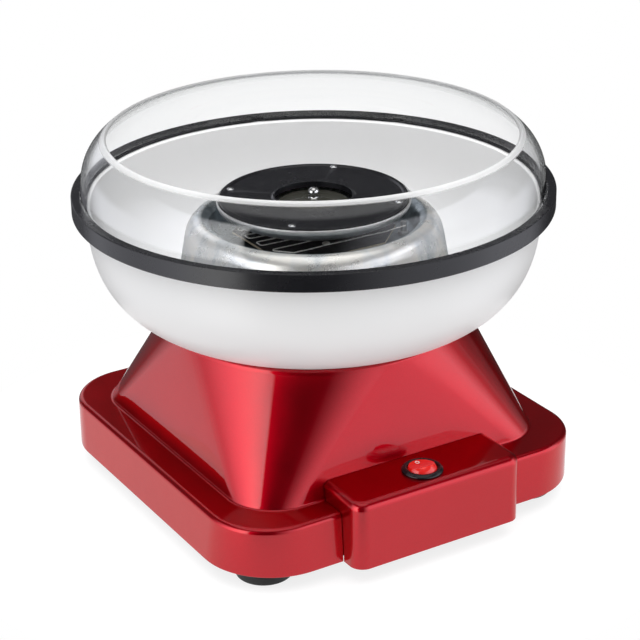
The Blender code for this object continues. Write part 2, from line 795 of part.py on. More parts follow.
def guard():
    """Clear wall of even thickness that curves in to a rounded edge, with lugs under its foot."""
    foot_z = RING_LEDGE_Z + GAP
    heights = [foot_z + (GUARD_EDGE_Z - foot_z) * step / 5 for step in range(6)]
    outer = [(guard_radius(height), height) for height in heights]
    inner = [guard_across(height, GUARD_WALL) for height in heights]
    half = GUARD_WALL / 2
    edge_radius, edge_z = guard_across(GUARD_EDGE_Z, half)
    facing = atan2(GUARD_EDGE_Z - edge_z, guard_radius(GUARD_EDGE_Z) - edge_radius)
    edge = []
    for step in range(5):
        turn = facing + pi * (1 - step / 4)
        edge.append((edge_radius + half * cos(turn), edge_z + half * sin(turn)))
    profile = edge + outer[-2::-1] + inner[:-1]
    wall = turned("guard", profile, CLEAR_PLASTIC, loop=True, steps=ROUND_STEPS)
    web = BOWL_FLANGE_Z + BOWL_WALL + GAP
    return join(wall, lug_blocks("guard_lugs", -0.0002, web + GAP, foot_z + 0.0012))


# ---------------------------------------------------------------------------------------------------
# Spinning head
# ---------------------------------------------------------------------------------------------------
def head_disc():
    """Black top plate with a raised bead at its edge and round the sugar well."""
    profile = [
        (WELL_RADIUS + 0.0011, HEAD_TOP_Z + 0.0003),
        (WELL_RADIUS + 0.0018, HEAD_TOP_Z - 0.0004),
        (HEAD_RADIUS - 0.0022, HEAD_TOP_Z - 0.0004),
        (HEAD_RADIUS - 0.0014, HEAD_TOP_Z),
        (HEAD_RADIUS, HEAD_TOP_Z - 0.0001),
        (HEAD_RADIUS, HEAD_BOTTOM_Z),
        (WELL_RADIUS, HEAD_BOTTOM_Z),
        (WELL_RADIUS, HEAD_TOP_Z + 0.0002),
    ]
    disc = turned("head_disc", profile, BLACK_PLASTIC, loop=True, steps=MIDDLE_STEPS)
    return cut(disc, rods("rivet_holes", around(4, RIVET_CIRCLE, start=pi / 4), 0.0015,
                          HEAD_BOTTOM_Z - 0.005, HEAD_TOP_Z + 0.005, steps=12))


def head_pan():
    """Aluminium pan under the top plate: the underside, from the rim in to the hub."""
    profile = [
        (PAN_RADIUS, HEAD_TOP_Z - 0.0010),
        (PAN_RADIUS, HEAD_BOTTOM_Z),
        (0.0549, 0.1703),
        (0.0532, 0.1682),
        (0.0460, 0.1643),
        (0.0340, PAN_FLOOR_Z),
        (0.0074, PAN_FLOOR_Z),
    ]
    return turned("head_pan", profile, ALUMINIUM, wall=PAN_WALL, steps=MIDDLE_STEPS)


def head_hub():
    """Hub: a shallow cone that sheds the sugar outwards, on a sleeve that drops over the spindle."""
    plate_low = 0.1703
    profile = [
        (SPINDLE_BORE, 0.1732),
        (0.0045, 0.1733),
        (HUB_PLATE_RADIUS, plate_low),
        (HUB_PLATE_RADIUS, plate_low - 0.0014),
        (0.0090, plate_low - 0.0026),
        (0.0090, PAN_FLOOR_Z + PAN_WALL + GAP),
        (0.0070, PAN_FLOOR_Z + PAN_WALL + GAP),
        (0.0070, DRIVE_PIN_Z - 0.0017),
        (SPINDLE_BORE, DRIVE_PIN_Z - 0.0017),
    ]
    hub = turned("head_hub", profile, BLACK_PLASTIC, loop=True, steps=28)
    slot = box("drive_slot", (-0.010, -0.0015, 0.1400), (0.010, 0.0015, DRIVE_PIN_Z + 0.0016))
    return cut(hub, slot)


def head_rivet(number, x, y):
    seat = HEAD_TOP_Z - 0.0003
    profile = [
        (0.0, seat + 0.0011),
        (0.0012, seat + 0.0009),
        (0.0021, seat + 0.0003),
        (0.0021, seat),
        (0.0012, seat),
        (0.0012, 0.1684),
        (0.0, 0.1684),
    ]
    made = turned("head_rivet_" + str(number), profile, ALUMINIUM, steps=12)
    made.location = (x, y, 0.0)
    return made


# ---------------------------------------------------------------------------------------------------
# Heater
# ---------------------------------------------------------------------------------------------------
def heater_bowl():
    """Polished aluminium: skirt from its foot up over the rounded lip and down to the dished floor."""
    floor = HEATER_FLOOR_Z + HEATER_WALL
    profile = [
        (0.0120, floor),
        (0.0545, floor),
        (0.0575, floor + 0.0024),
        (0.0590, 0.1560),
        (0.0598, 0.1605),
        (0.0620, HEATER_CREST_Z - 0.0009),
        (0.0645, HEATER_CREST_Z),
        (0.0675, HEATER_CREST_Z - 0.0006),
        (0.0700, HEATER_CREST_Z - 0.0024),
        (0.0722, 0.1580),
        (0.0743, 0.1520),
        (0.0782, 0.1310),
        (HEATER_FOOT_RADIUS, DECK_Z + GAP),
    ]
    dish = turned("heater_bowl", profile, ALUMINIUM, wall=HEATER_WALL, steps=MIDDLE_STEPS)
    leads = [(TERMINAL_X, side * TERMINAL_Y) for side in (-1, 1)]
    return cut(dish, rods("terminal_holes", leads, 0.0022, 0.1400, 0.1500, steps=16))


def heater_board():
    straight = BOARD_HALF - BOARD_CHAMFER
    outline = []
    for quadrant in range(4):
        outline.append(quarter_turned((BOARD_HALF, -straight), quadrant))
        outline.append(quarter_turned((BOARD_HALF, straight), quadrant))
    holes = [circle(0.0095, steps=32)]
    for place in POST_PLACES:
        holes.append(circle(0.0016, steps=12, centre=place))
    return flat_piece("heater_board", [outline] + holes, BOARD_Z, BOARD_Z + BOARD_THICKNESS, MICA)


def heating_wire_route():
    """Back and forth over the board, from one terminal post to the other."""
    near, middle, far = WIRE_ROWS
    end = BOARD_HALF - 0.0015
    far_end = 0.0310
    turn_x, turn_y = -0.0140, 0.0035
    half = [
        (TERMINAL_X - 0.0005, -TERMINAL_Y - 0.0028),
        (far_end + 0.004, -far + 0.0008),
        (far_end, -far),
        (-far_end, -far),
        (-end, -middle),
        (end, -middle),
        (end, -near),
        (-end, -near),
        (-end, -turn_y),
        (turn_x, -turn_y),
    ]
    other_half = [(x, -y) for x, y in reversed(half)]
    height = BOARD_Z + BOARD_THICKNESS + GAP + WIRE_RADIUS
    return [(x, y, height) for x, y in half + other_half]


def heating_wire():
    return wire("heating_wire", heating_wire_route(), WIRE_RADIUS, NICHROME, rings=1)


def ceramic_post(number, x, y):
    board_top = BOARD_Z + BOARD_THICKNESS
    profile = [
        (0.0, board_top + 0.0014),
        (0.0016, board_top + 0.0013),
        (0.0023, board_top + 0.0008),
        (0.0023, board_top + GAP),
        (0.0013, board_top + GAP),
        (0.0013, BOARD_Z - GAP),
        (0.0032, BOARD_Z - GAP),
        (0.0032, HEATER_FLOOR_Z + HEATER_WALL + GAP),
        (0.0, HEATER_FLOOR_Z + HEATER_WALL + GAP),
    ]
    made = turned("ceramic_post_" + str(number), profile, CERAMIC, steps=12)
    made.location = (x, y, 0.0)
    return made


def terminal_post(number, x, y):
    above = HEATER_FLOOR_Z + HEATER_WALL + GAP
    below = HEATER_FLOOR_Z - GAP
    profile = [
        (0.0, BOARD_Z + 0.0040),
        (0.0018, BOARD_Z + 0.0040),
        (0.0018, above + 0.0022),
        (0.0032, above + 0.0022),
        (0.0032, above),
        (0.0018, above),
        (0.0018, below),
        (0.0032, below),
        (0.0032, below - 0.0022),
        (0.0018, below - 0.0022),
        (0.0018, 0.1415),
        (0.0, 0.1415),
    ]
    made = turned("terminal_post_" + str(number), profile, STEEL, steps=12)
    made.location = (x, y, 0.0)
    return made


def thermal_cutout():
    top = HEATER_FLOOR_Z - GAP
    profile = [
        (0.0, top),
        (0.0080, top),
        (0.0080, top - 0.0035),
        (0.0062, top - 0.0042),
        (0.0062, top - 0.0080),
        (0.0, top - 0.0080),
    ]
    made = turned("thermal_cutout", profile, CERAMIC, steps=20)
    made.location = (-0.030, 0.032, 0.0)
    return made


# ---------------------------------------------------------------------------------------------------
# Motor, rotor and bracket
# ---------------------------------------------------------------------------------------------------
def motor_can():
    wall = 0.0012
    profile = [
        (0.0052, MOTOR_TOP_Z),
        (MOTOR_RADIUS - 0.0015, MOTOR_TOP_Z),
        (MOTOR_RADIUS, MOTOR_TOP_Z - 0.0015),
        (MOTOR_RADIUS, MOTOR_BOTTOM_Z),
        (MOTOR_RADIUS - wall, MOTOR_BOTTOM_Z),
        (MOTOR_RADIUS - wall, MOTOR_TOP_Z - wall - 0.001),
        (MOTOR_RADIUS - wall - 0.001, MOTOR_TOP_Z - wall),
        (0.0052, MOTOR_TOP_Z - wall),
    ]
    return turned("motor_can", profile, STEEL, loop=True, steps=20)


def motor_end_cap():
    top = MOTOR_BOTTOM_Z - GAP
    spigot = MOTOR_RADIUS - 0.0015
    profile = [
        (SPINDLE_BORE, top + 0.0020),
        (0.0070, top + 0.0020),
        (0.0070, top),
        (spigot - 0.0015, top),
        (spigot - 0.0015, top + 0.0028),
        (spigot, top + 0.0028),
        (spigot, top),
        (MOTOR_RADIUS, top),
        (MOTOR_RADIUS, top - 0.0030),
        (0.0065, top - 0.0030),
        (0.0055, top - 0.0055),
        (0.0, top - 0.0055),
        (0.0, top - 0.0035),
        (SPINDLE_BORE, top - 0.0035),
        (SPINDLE_BORE, top + 0.0020),
    ]
    return turned("motor_end_cap", profile, BLACK_PLASTIC, steps=20)


def motor_bearing():
    profile = [
        (SPINDLE_BORE, 0.0962),
        (0.0046, 0.0962),
        (0.0049, 0.0959),
        (0.0049, MOTOR_TOP_Z - 0.0015),
        (0.0060, MOTOR_TOP_Z - 0.0015),
        (0.0060, 0.0885),
        (SPINDLE_BORE, 0.0885),
    ]
    return turned("motor_bearing", profile, BRASS, loop=True)


def magnet(number, facing):
    inner, outer, reach = 0.0134, 0.0165, radians(68.0)
    turns = [facing - reach + 2 * reach * step / 12 for step in range(13)]
    outline = [(outer * cos(turn), outer * sin(turn)) for turn in turns]
    outline += [(inner * cos(turn), inner * sin(turn)) for turn in reversed(turns)]
    return flat_piece("magnet_" + str(number), [outline], 0.0500, 0.0820, MAGNET)


def armature():
    """Five poles on the spindle."""
    outline = []
    pole, neck, core = 0.0128, 0.0110, 0.0062
    for index in range(5):
        middle = 2 * pi * index / 5
        for offset in (-30, -15, 0, 15, 30):
            turn = middle + radians(offset)
            outline.append((pole * cos(turn), pole * sin(turn)))
        outline.append((neck * cos(middle + radians(30)), neck * sin(middle + radians(30))))
        outline.append((core * cos(middle + radians(30)), core * sin(middle + radians(30))))
        outline.append((core * cos(middle + radians(42)), core * sin(middle + radians(42))))
        outline.append((neck * cos(middle + radians(42)), neck * sin(middle + radians(42))))
    return flat_piece("armature", [outline, circle(SPINDLE_BORE, steps=20)], 0.0540, 0.0780, COPPER)


def commutator():
    profile = [(SPINDLE_BORE, 0.0505), (0.0052, 0.0505), (0.0052, 0.0440), (SPINDLE_BORE, 0.0440)]
    return turned("commutator", profile, COPPER, loop=True, steps=20)


def spindle():
    """Long spindle with a polished ball end above the head."""
    lowest_ball = -acos(0.0025 / SPINDLE_RADIUS)
    ball = []
    for step in range(10):
        turn = pi / 2 + (lowest_ball - pi / 2) * step / 9
        ball.append((max(SPINDLE_RADIUS * cos(turn), 0.0), BALL_Z + SPINDLE_RADIUS * sin(turn)))
    ball[0] = (0.0, BALL_Z + SPINDLE_RADIUS)
    profile = ball + [
        (0.0025, 0.1736),
        (SPINDLE_RADIUS, 0.1730),
        (SPINDLE_RADIUS, 0.0375),
        (0.0, 0.0375),
    ]
    shaft = turned("spindle", profile, STEEL)
    hole = turned("pin_hole", [(0.0, 0.01), (0.0015, 0.01), (0.0015, -0.01), (0.0, -0.01)], steps=16)
    hole.rotation_euler = (0.0, radians(90.0), 0.0)
    hole.location = (0.0, 0.0, DRIVE_PIN_Z)
    return cut(shaft, hole)


def drive_pin():
    profile = [(0.0, 0.0065), (0.0012, 0.0065), (0.0012, -0.0065), (0.0, -0.0065)]
    pin = turned("drive_pin", profile, STEEL, steps=12)
    pin.rotation_euler = (0.0, radians(90.0), 0.0)
    pin.location = (0.0, 0.0, DRIVE_PIN_Z)
    return pin


def cooling_fan():
    """Hub with six pitched blades, above the deck and under the heater."""
    low, high = 0.1120, 0.1210
    profile = [
        (SPINDLE_BORE, high),
        (0.0085, high),
        (0.0090, high - 0.0008),
        (0.0090, low),
        (SPINDLE_BORE, low),
    ]
    fan = turned("cooling_fan", profile, BLACK_PLASTIC, loop=True, steps=30)
    shape = bmesh.new()
    for index in range(6):
        blade = bmesh.ops.create_cube(shape, size=1.0)
        place_box(blade["verts"], (0.0080, -0.0070, -0.0006), (0.0340, 0.0070, 0.0006))
        pitch = Matrix.Rotation(radians(28.0), 3, "X")
        turn = Matrix.Rotation(2 * pi * index / 6, 3, "Z")
        bmesh.ops.rotate(shape, verts=blade["verts"], cent=(0, 0, 0), matrix=turn @ pitch)
        bmesh.ops.translate(shape, verts=blade["verts"], vec=(0.0, 0.0, (low + high) / 2))
    mesh = bpy.data.meshes.new("fan_blades")
    shape.to_mesh(mesh)
    shape.free()
    return join(fan, mesh_object("fan_blades", mesh))


def motor_bracket():
    outlines = [circle(BRACKET_RADIUS, steps=32), circle(0.0064, steps=12)]
    for place in bracket_screw_places():
        outlines.append(circle(0.0043, steps=12, centre=place))
    return flat_piece("motor_bracket", outlines, BRACKET_Z, BRACKET_Z + BRACKET_THICKNESS, STEEL)


def bracket_grommet(number, x, y):
    top, bottom = BRACKET_Z + BRACKET_THICKNESS, BRACKET_Z
    profile = [
        (0.0023, top + 0.0015),
        (0.0062, top + 0.0015),
        (0.0062, top + GAP),
        (0.0040, top + GAP),
        (0.0040, bottom - GAP),
        (0.0062, bottom - GAP),
        (0.0062, bottom - 0.0015),
        (0.0023, bottom - 0.0015),
    ]
    made = turned("bracket_grommet_" + str(number), profile, RUBBER, loop=True, steps=12)
    made.location = (x, y, 0.0)
    return made


def bracket_screw(number, x, y):
    under = BRACKET_Z - 0.0015 - GAP
    profile = [
        (0.0, 0.1008),
        (0.0020, 0.0998),
        (0.0020, under),
        (0.0040, under),
        (0.0040, under - 0.0016),
        (0.0028, under - 0.0024),
        (0.0, under - 0.0024),
    ]
    made = turned("bracket_screw_" + str(number), profile, STEEL, steps=12)
    made.location = (x, y, 0.0)
    return made


# ---------------------------------------------------------------------------------------------------
# Circuit and wiring
# ---------------------------------------------------------------------------------------------------
def circuit():
    top = CIRCUIT_Z + CIRCUIT_THICKNESS
    low = (BOARD_LOW_X, BOARD_LOW_Y, CIRCUIT_Z)
    high = (BOARD_LOW_X + CIRCUIT_LENGTH, BOARD_LOW_Y + CIRCUIT_WIDTH, top)
    box("rectifier_board", low, high, CIRCUIT_GREEN)
    rectifier_low = (BOARD_LOW_X + 0.008, BOARD_LOW_Y + 0.006, top + GAP)
    rectifier_high = (BOARD_LOW_X + 0.013, BOARD_LOW_Y + 0.024, top + 0.014)
    box("bridge_rectifier", rectifier_low, rectifier_high, BLACK_PLASTIC)
    tall = top + 0.0150
    profile = [
        (0.0, tall),
        (0.0052, tall),
        (0.0060, tall - 0.0008),
        (0.0060, top + GAP),
        (0.0, top + GAP),
    ]
    capacitor = turned("filter_capacitor", profile, BLACK_PLASTIC, steps=20)
    capacitor.location = (BOARD_LOW_X + 0.029, BOARD_LOW_Y + 0.016, 0.0)


def wiring():
    sleeve = 0.0011
    terminal_z = SWITCH_BODY_BOTTOM_Z - 0.0080
    board_top = CIRCUIT_Z + CIRCUIT_THICKNESS
    mains = [
        (CORD_X, 0.1075, CORD_Z),
        (0.085, 0.095, 0.024),
        (0.094, 0.050, 0.019),
        (0.092, -0.030, 0.018),
        (0.062, -0.088, 0.018),
        (0.024, -0.120, 0.019),
        (SWITCH_X + 0.001, SWITCH_Y - 0.0045, terminal_z - 0.0014),
    ]
    wire("mains_lead", smooth_route(mains, spacing=0.018), sleeve, WIRE_SLEEVE)
    front = [
        (TERMINAL_X, -TERMINAL_Y, 0.1404),
        (TERMINAL_X, -TERMINAL_Y, 0.1180),
        (TERMINAL_X, -TERMINAL_Y, 0.0900),
        (0.048, -0.036, 0.060),
        (0.040, -0.070, 0.030),
        (0.014, -0.096, 0.025),
        (SWITCH_X + 0.001, SWITCH_Y + 0.0055, terminal_z - 0.0014),
    ]
    wire("heater_lead_front", smooth_route(front, spacing=0.016), sleeve, WIRE_SLEEVE)
    back = [
        (TERMINAL_X, TERMINAL_Y, 0.1404),
        (TERMINAL_X, TERMINAL_Y, 0.1180),
        (TERMINAL_X, TERMINAL_Y, 0.0900),
        (0.052, 0.030, 0.056),
        (0.069, 0.034, 0.036),
        (0.072, 0.041, board_top + 0.0014),
    ]
    wire("heater_lead_back", smooth_route(back, spacing=0.016), sleeve, WIRE_SLEEVE)
    motor = [
        (0.0120, 0.0060, MOTOR_BOTTOM_Z - 0.0048),
        (0.018, 0.014, 0.0300),
        (0.028, 0.028, 0.0270),
        (0.036, 0.058, board_top + 0.0014),
    ]
    wire("motor_lead", smooth_route(motor, spacing=0.008), sleeve, WIRE_SLEEVE)


# ---------------------------------------------------------------------------------------------------
# Assembly
# ---------------------------------------------------------------------------------------------------
def hold(name, pieces):
    """An empty on the spin axis that carries the pieces of one moving body."""
    empty = bpy.data.objects.new(name, None)
    PARTS.objects.link(empty)
    for piece in pieces:
        piece.parent = empty
    return empty


def assemble():
    base_housing()
    switch_box()
    switch_body()
    switch_terminal(1, 0.0055)
    switch_terminal(2, -0.0045)
    base_cover()
    cord_bush()
    for name, x, y in foot_places():
        foot(name, x, y)
    for number, (x, y) in enumerate(cover_screw_places(), 1):
        cover_screw(number, x, y)
    motor_can()
    motor_end_cap()
    motor_bearing()
    magnet(1, 0.0)
    magnet(2, pi)
    motor_bracket()
    for number, (x, y) in enumerate(bracket_screw_places(), 1):
        bracket_grommet(number, x, y)
        bracket_screw(number, x, y)
    heater_bowl()
    heater_board()
    heating_wire()
    for number, (x, y) in enumerate(POST_PLACES, 1):
        ceramic_post(number, x, y)
    terminal_post(1, TERMINAL_X, -TERMINAL_Y)
    terminal_post(2, TERMINAL_X, TERMINAL_Y)
    thermal_cutout()
    circuit()
    wiring()
    rocker()
    hold("rotor_axis", [spindle(), drive_pin(), armature(), commutator(), cooling_fan()])
    rivets = [head_rivet(number, x, y) for number, (x, y) in enumerate(around(4, RIVET_CIRCLE, pi / 4), 1)]
    hold("head_axis", [head_disc(), head_pan(), head_hub()] + rivets)
    hold("bowl_axis", [bowl(), rim_ring()])
    hold("guard_axis", [guard()])


assemble()
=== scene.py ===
"""Looks of the cotton candy machine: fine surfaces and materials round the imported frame."""

import json
from math import acos, atan2, cos, pi, radians, sin, sqrt, tan

import bmesh
import bpy
from mathutils import Matrix, Vector


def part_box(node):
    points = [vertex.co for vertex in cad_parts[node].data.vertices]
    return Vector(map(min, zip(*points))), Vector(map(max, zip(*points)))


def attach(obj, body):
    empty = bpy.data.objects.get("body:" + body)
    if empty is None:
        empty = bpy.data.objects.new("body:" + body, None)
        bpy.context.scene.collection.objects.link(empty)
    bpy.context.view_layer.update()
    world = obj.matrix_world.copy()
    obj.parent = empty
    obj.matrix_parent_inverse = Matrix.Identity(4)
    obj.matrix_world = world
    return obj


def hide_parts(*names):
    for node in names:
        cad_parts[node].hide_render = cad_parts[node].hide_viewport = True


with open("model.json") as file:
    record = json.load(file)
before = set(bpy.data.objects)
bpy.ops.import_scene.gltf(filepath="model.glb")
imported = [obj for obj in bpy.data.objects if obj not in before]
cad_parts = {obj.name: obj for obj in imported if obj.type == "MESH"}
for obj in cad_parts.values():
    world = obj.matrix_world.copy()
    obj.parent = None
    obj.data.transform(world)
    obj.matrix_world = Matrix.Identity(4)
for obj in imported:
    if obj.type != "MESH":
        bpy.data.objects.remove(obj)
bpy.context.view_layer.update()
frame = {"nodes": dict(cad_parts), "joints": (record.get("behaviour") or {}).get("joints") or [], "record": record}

GAP = 0.0003


# ---- Camera, light and floor ----
CAMERA_PLACE = (-0.53331, -0.89225, 0.55340)
CAMERA_RIGHT = Vector((0.853675, -0.520595, -0.014821))
CAMERA_UP = Vector((0.221032, 0.336388, 0.915417))
CAMERA_LENS = 109.25
CAMERA_SENSOR = 36.0
FLOOR_RADIUS = 0.235

# What glossy faces mirror, as (azimuth, brightness) going round. Azimuth runs from +X towards +Y, in
# degrees. Below the horizon it is the pale table top beyond the floor piece, and above it the walls of
# the tent: a bright one at the left of the camera with a sharp edge, a dark stretch beside it, a softer
# one to the right, and nearly black behind, with one pale strip. Middling light is a little cool.
COOL_TINT = (0.95, 0.96, 1.04)
COOL_RANGE = (0.1, 2.5)
TENT_TABLE = (
    (0.0, 0.90), (9.0, 0.30), (18.0, 0.02), (60.0, 0.06), (101.0, 0.14), (117.0, 0.98), (150.0, 1.10),
    (172.0, 1.80), (190.0, 2.60), (204.5, 2.60), (206.5, 0.00), (248.0, 0.02), (276.0, 1.00),
    (300.0, 1.12), (333.0, 1.60), (360.0, 0.90),
)
TENT_WALLS = (
    (0.0, 0.20), (8.0, 0.03), (55.0, 0.05), (67.0, 0.05), (76.0, 0.80), (94.0, 0.80), (104.0, 0.06),
    (132.0, 0.06), (152.0, 1.00), (172.0, 2.00), (190.0, 3.00), (204.5, 3.00), (206.5, 0.00),
    (250.0, 0.02), (274.0, 1.00), (296.0, 1.60), (338.0, 1.75), (352.0, 0.35),
)
TENT_PEAK = 3.0
# Elevations in degrees over which one zone of the tent passes into the next.
HORIZON = (-4.0, 7.0)
WALL_TOP = (34.0, 40.0)
ROOF_EDGE = (54.0, 64.0)
GAP_LIGHT = 0.04
ROOF_LIGHT = 0.90
# The soft light on matt faces, from the sides and from above.
SOFT_SIDES = 0.90
SOFT_TOP = 2.7
SOFT_EDGE = (40.0, 60.0)
FLOOR_FINISH = {
    "Base Color": (0.25, 0.25, 0.252, 1.0),
    "Roughness": 0.9,
    "Specular IOR Level": 0.0,
    "Emission Color": (1.0, 1.0, 1.0, 1.0),
    "Emission Strength": 0.80,
}


def add_object(name, data):
    """Puts the mesh, curve or camera into the scene."""
    made = bpy.data.objects.new(name, data)
    bpy.context.scene.collection.objects.link(made)
    return made


def make_camera():
    """The camera that took the photo, as it was solved from the machine's round edges."""
    data = bpy.data.cameras.new("camera")
    data.lens = CAMERA_LENS
    data.sensor_width = CAMERA_SENSOR
    data.clip_start = 0.05
    data.clip_end = 100.0
    camera = add_object("camera", data)
    right = CAMERA_RIGHT.normalized()
    back = right.cross(CAMERA_UP).normalized()
    up = back.cross(right)
    camera.matrix_world = Matrix((
        (right.x, up.x, back.x, CAMERA_PLACE[0]),
        (right.y, up.y, back.y, CAMERA_PLACE[1]),
        (right.z, up.z, back.z, CAMERA_PLACE[2]),
        (0.0, 0.0, 0.0, 1.0),
    ))
    bpy.context.scene.camera = camera


def add_node(tree, kind, output, sockets, **settings):
    """Adds a shader node, sets or links its sockets, and gives the output asked for."""
    node = tree.nodes.new("ShaderNode" + kind)
    for name, value in settings.items():
        setattr(node, name, value)
    for socket, value in sockets.items():
        if isinstance(value, bpy.types.NodeSocket):
            tree.links.new(value, node.inputs[socket])
        else:
            node.inputs[socket].default_value = value
    return node.outputs[output]


def math_node(tree, operation, *values, clamp=False):
    """Number worked out from the values, each a number or a node's output."""
    return add_node(tree, "Math", 0, dict(enumerate(values)), operation=operation, use_clamp=clamp)


def soft_step(tree, value, low, high):
    """0 below low and 1 above high, with a smooth rise between."""
    sockets = {"Value": value, "From Min": low, "From Max": high}
    return add_node(tree, "MapRange", "Result", sockets, interpolation_type="SMOOTHSTEP")


def mixed(tree, factor, first, second):
    """Colour that goes from first to second as the factor goes from 0 to 1."""
    first, second = [(*value, 1.0) if isinstance(value, tuple) else value for value in (first, second)]
    return add_node(tree, "Mix", 2, {"Factor": factor, 6: first, 7: second}, data_type="RGBA")


def ramp(tree, value, stops):
    """Colour that follows a value from 0 to 1 through (position, (r, g, b)) stops."""
    node = tree.nodes.new("ShaderNodeValToRGB")
    marks = node.color_ramp.elements
    while len(marks) < len(stops):
        marks.new(0.5)
    for mark, (position, colour) in zip(marks, stops):
        mark.position = position
        mark.color = (*colour, 1.0)
    tree.links.new(value, node.inputs["Fac"])
    return node.outputs["Color"]


def light_round(tree, turn, table):
    """The light that the table gives at each azimuth, where turn goes from 0 to 1."""
    stops = []
    for angle, brightness in table:
        tint = COOL_TINT if COOL_RANGE[0] < brightness < COOL_RANGE[1] else (1.0, 1.0, 1.0)
        stops.append((angle / 360.0, [brightness / TENT_PEAK * channel for channel in tint]))
    sockets = {0: ramp(tree, turn, stops), "Scale": TENT_PEAK}
    return add_node(tree, "VectorMath", 0, sockets, operation="SCALE")


def make_world():
    """A light tent: even soft light on everything, uneven walls for glossy faces to mirror, and a
    plain white backdrop."""
    world = bpy.data.worlds.new("light_tent")
    bpy.context.scene.world = world
    world.use_nodes = True
    tree = world.node_tree
    tree.nodes.clear()
    coords = tree.nodes.new("ShaderNodeTexCoord").outputs["Generated"]
    split = tree.nodes.new("ShaderNodeSeparateXYZ")
    tree.links.new(coords, split.inputs[0])
    x, y, z = split.outputs
    turn = math_node(tree, "FRACT", math_node(tree, "DIVIDE", math_node(tree, "ARCTAN2", y, x), 2 * pi))
    height = math_node(tree, "ARCSINE", z)
    wall, gap, roof, above = [soft_step(tree, height, radians(low), radians(high))
                              for low, high in (HORIZON, WALL_TOP, ROOF_EDGE, SOFT_EDGE)]
    table, walls = light_round(tree, turn, TENT_TABLE), light_round(tree, turn, TENT_WALLS)
    mirrored = mixed(tree, wall, table, walls)
    mirrored = mixed(tree, gap, mirrored, (GAP_LIGHT,) * 3)
    mirrored = mixed(tree, roof, mirrored, (ROOF_LIGHT,) * 3)
    fill = mixed(tree, above, (SOFT_SIDES,) * 3, (SOFT_TOP,) * 3)
    # A mirrored ray sees the tent, and any other sees the soft light. A ray straight through the clear
    # guard sees plain white, as the camera does, and so does one that was turned back inside its wall.
    path = tree.nodes.new("ShaderNodeLightPath")
    shiny = math_node(tree, "GREATER_THAN", path.outputs["Glossy Depth"], 0.5)
    light = mixed(tree, shiny, fill, mirrored)
    once = math_node(tree, "COMPARE", path.outputs["Glossy Depth"], 1.0, 0.5)
    seen = math_node(tree, "SUBTRACT", path.outputs["Is Transmission Ray"], once, clamp=True)
    seen = math_node(tree, "MAXIMUM", path.outputs["Is Camera Ray"], seen)
    light = mixed(tree, seen, light, (1.0, 1.0, 1.0))
    tent = add_node(tree, "Background", 0, {"Color": light})
    output = tree.nodes.new("ShaderNodeOutputWorld")
    tree.links.new(tent, output.inputs["Surface"])


def finished(name, shape):
    """Turns the shape under construction into a mesh."""
    mesh = bpy.data.meshes.new(name)
    shape.to_mesh(mesh)
    shape.free()
    return mesh


def make_floor():
    """A round white table, lit from within, so that its edge melts into the white behind it."""
    shape = bmesh.new()
    bmesh.ops.create_circle(shape, cap_ends=True, segments=128, radius=FLOOR_RADIUS)
    mesh = finished("floor", shape)
    floor = add_object("floor", mesh)
    look = bpy.data.materials.new("pale_floor")
    look.use_nodes = True
    for socket, value in FLOOR_FINISH.items():
        look.node_tree.nodes["Principled BSDF"].inputs[socket].default_value = value
    mesh.materials.append(look)


make_camera()
make_world()
make_floor()
bpy.context.scene.view_settings.view_transform = "Standard"


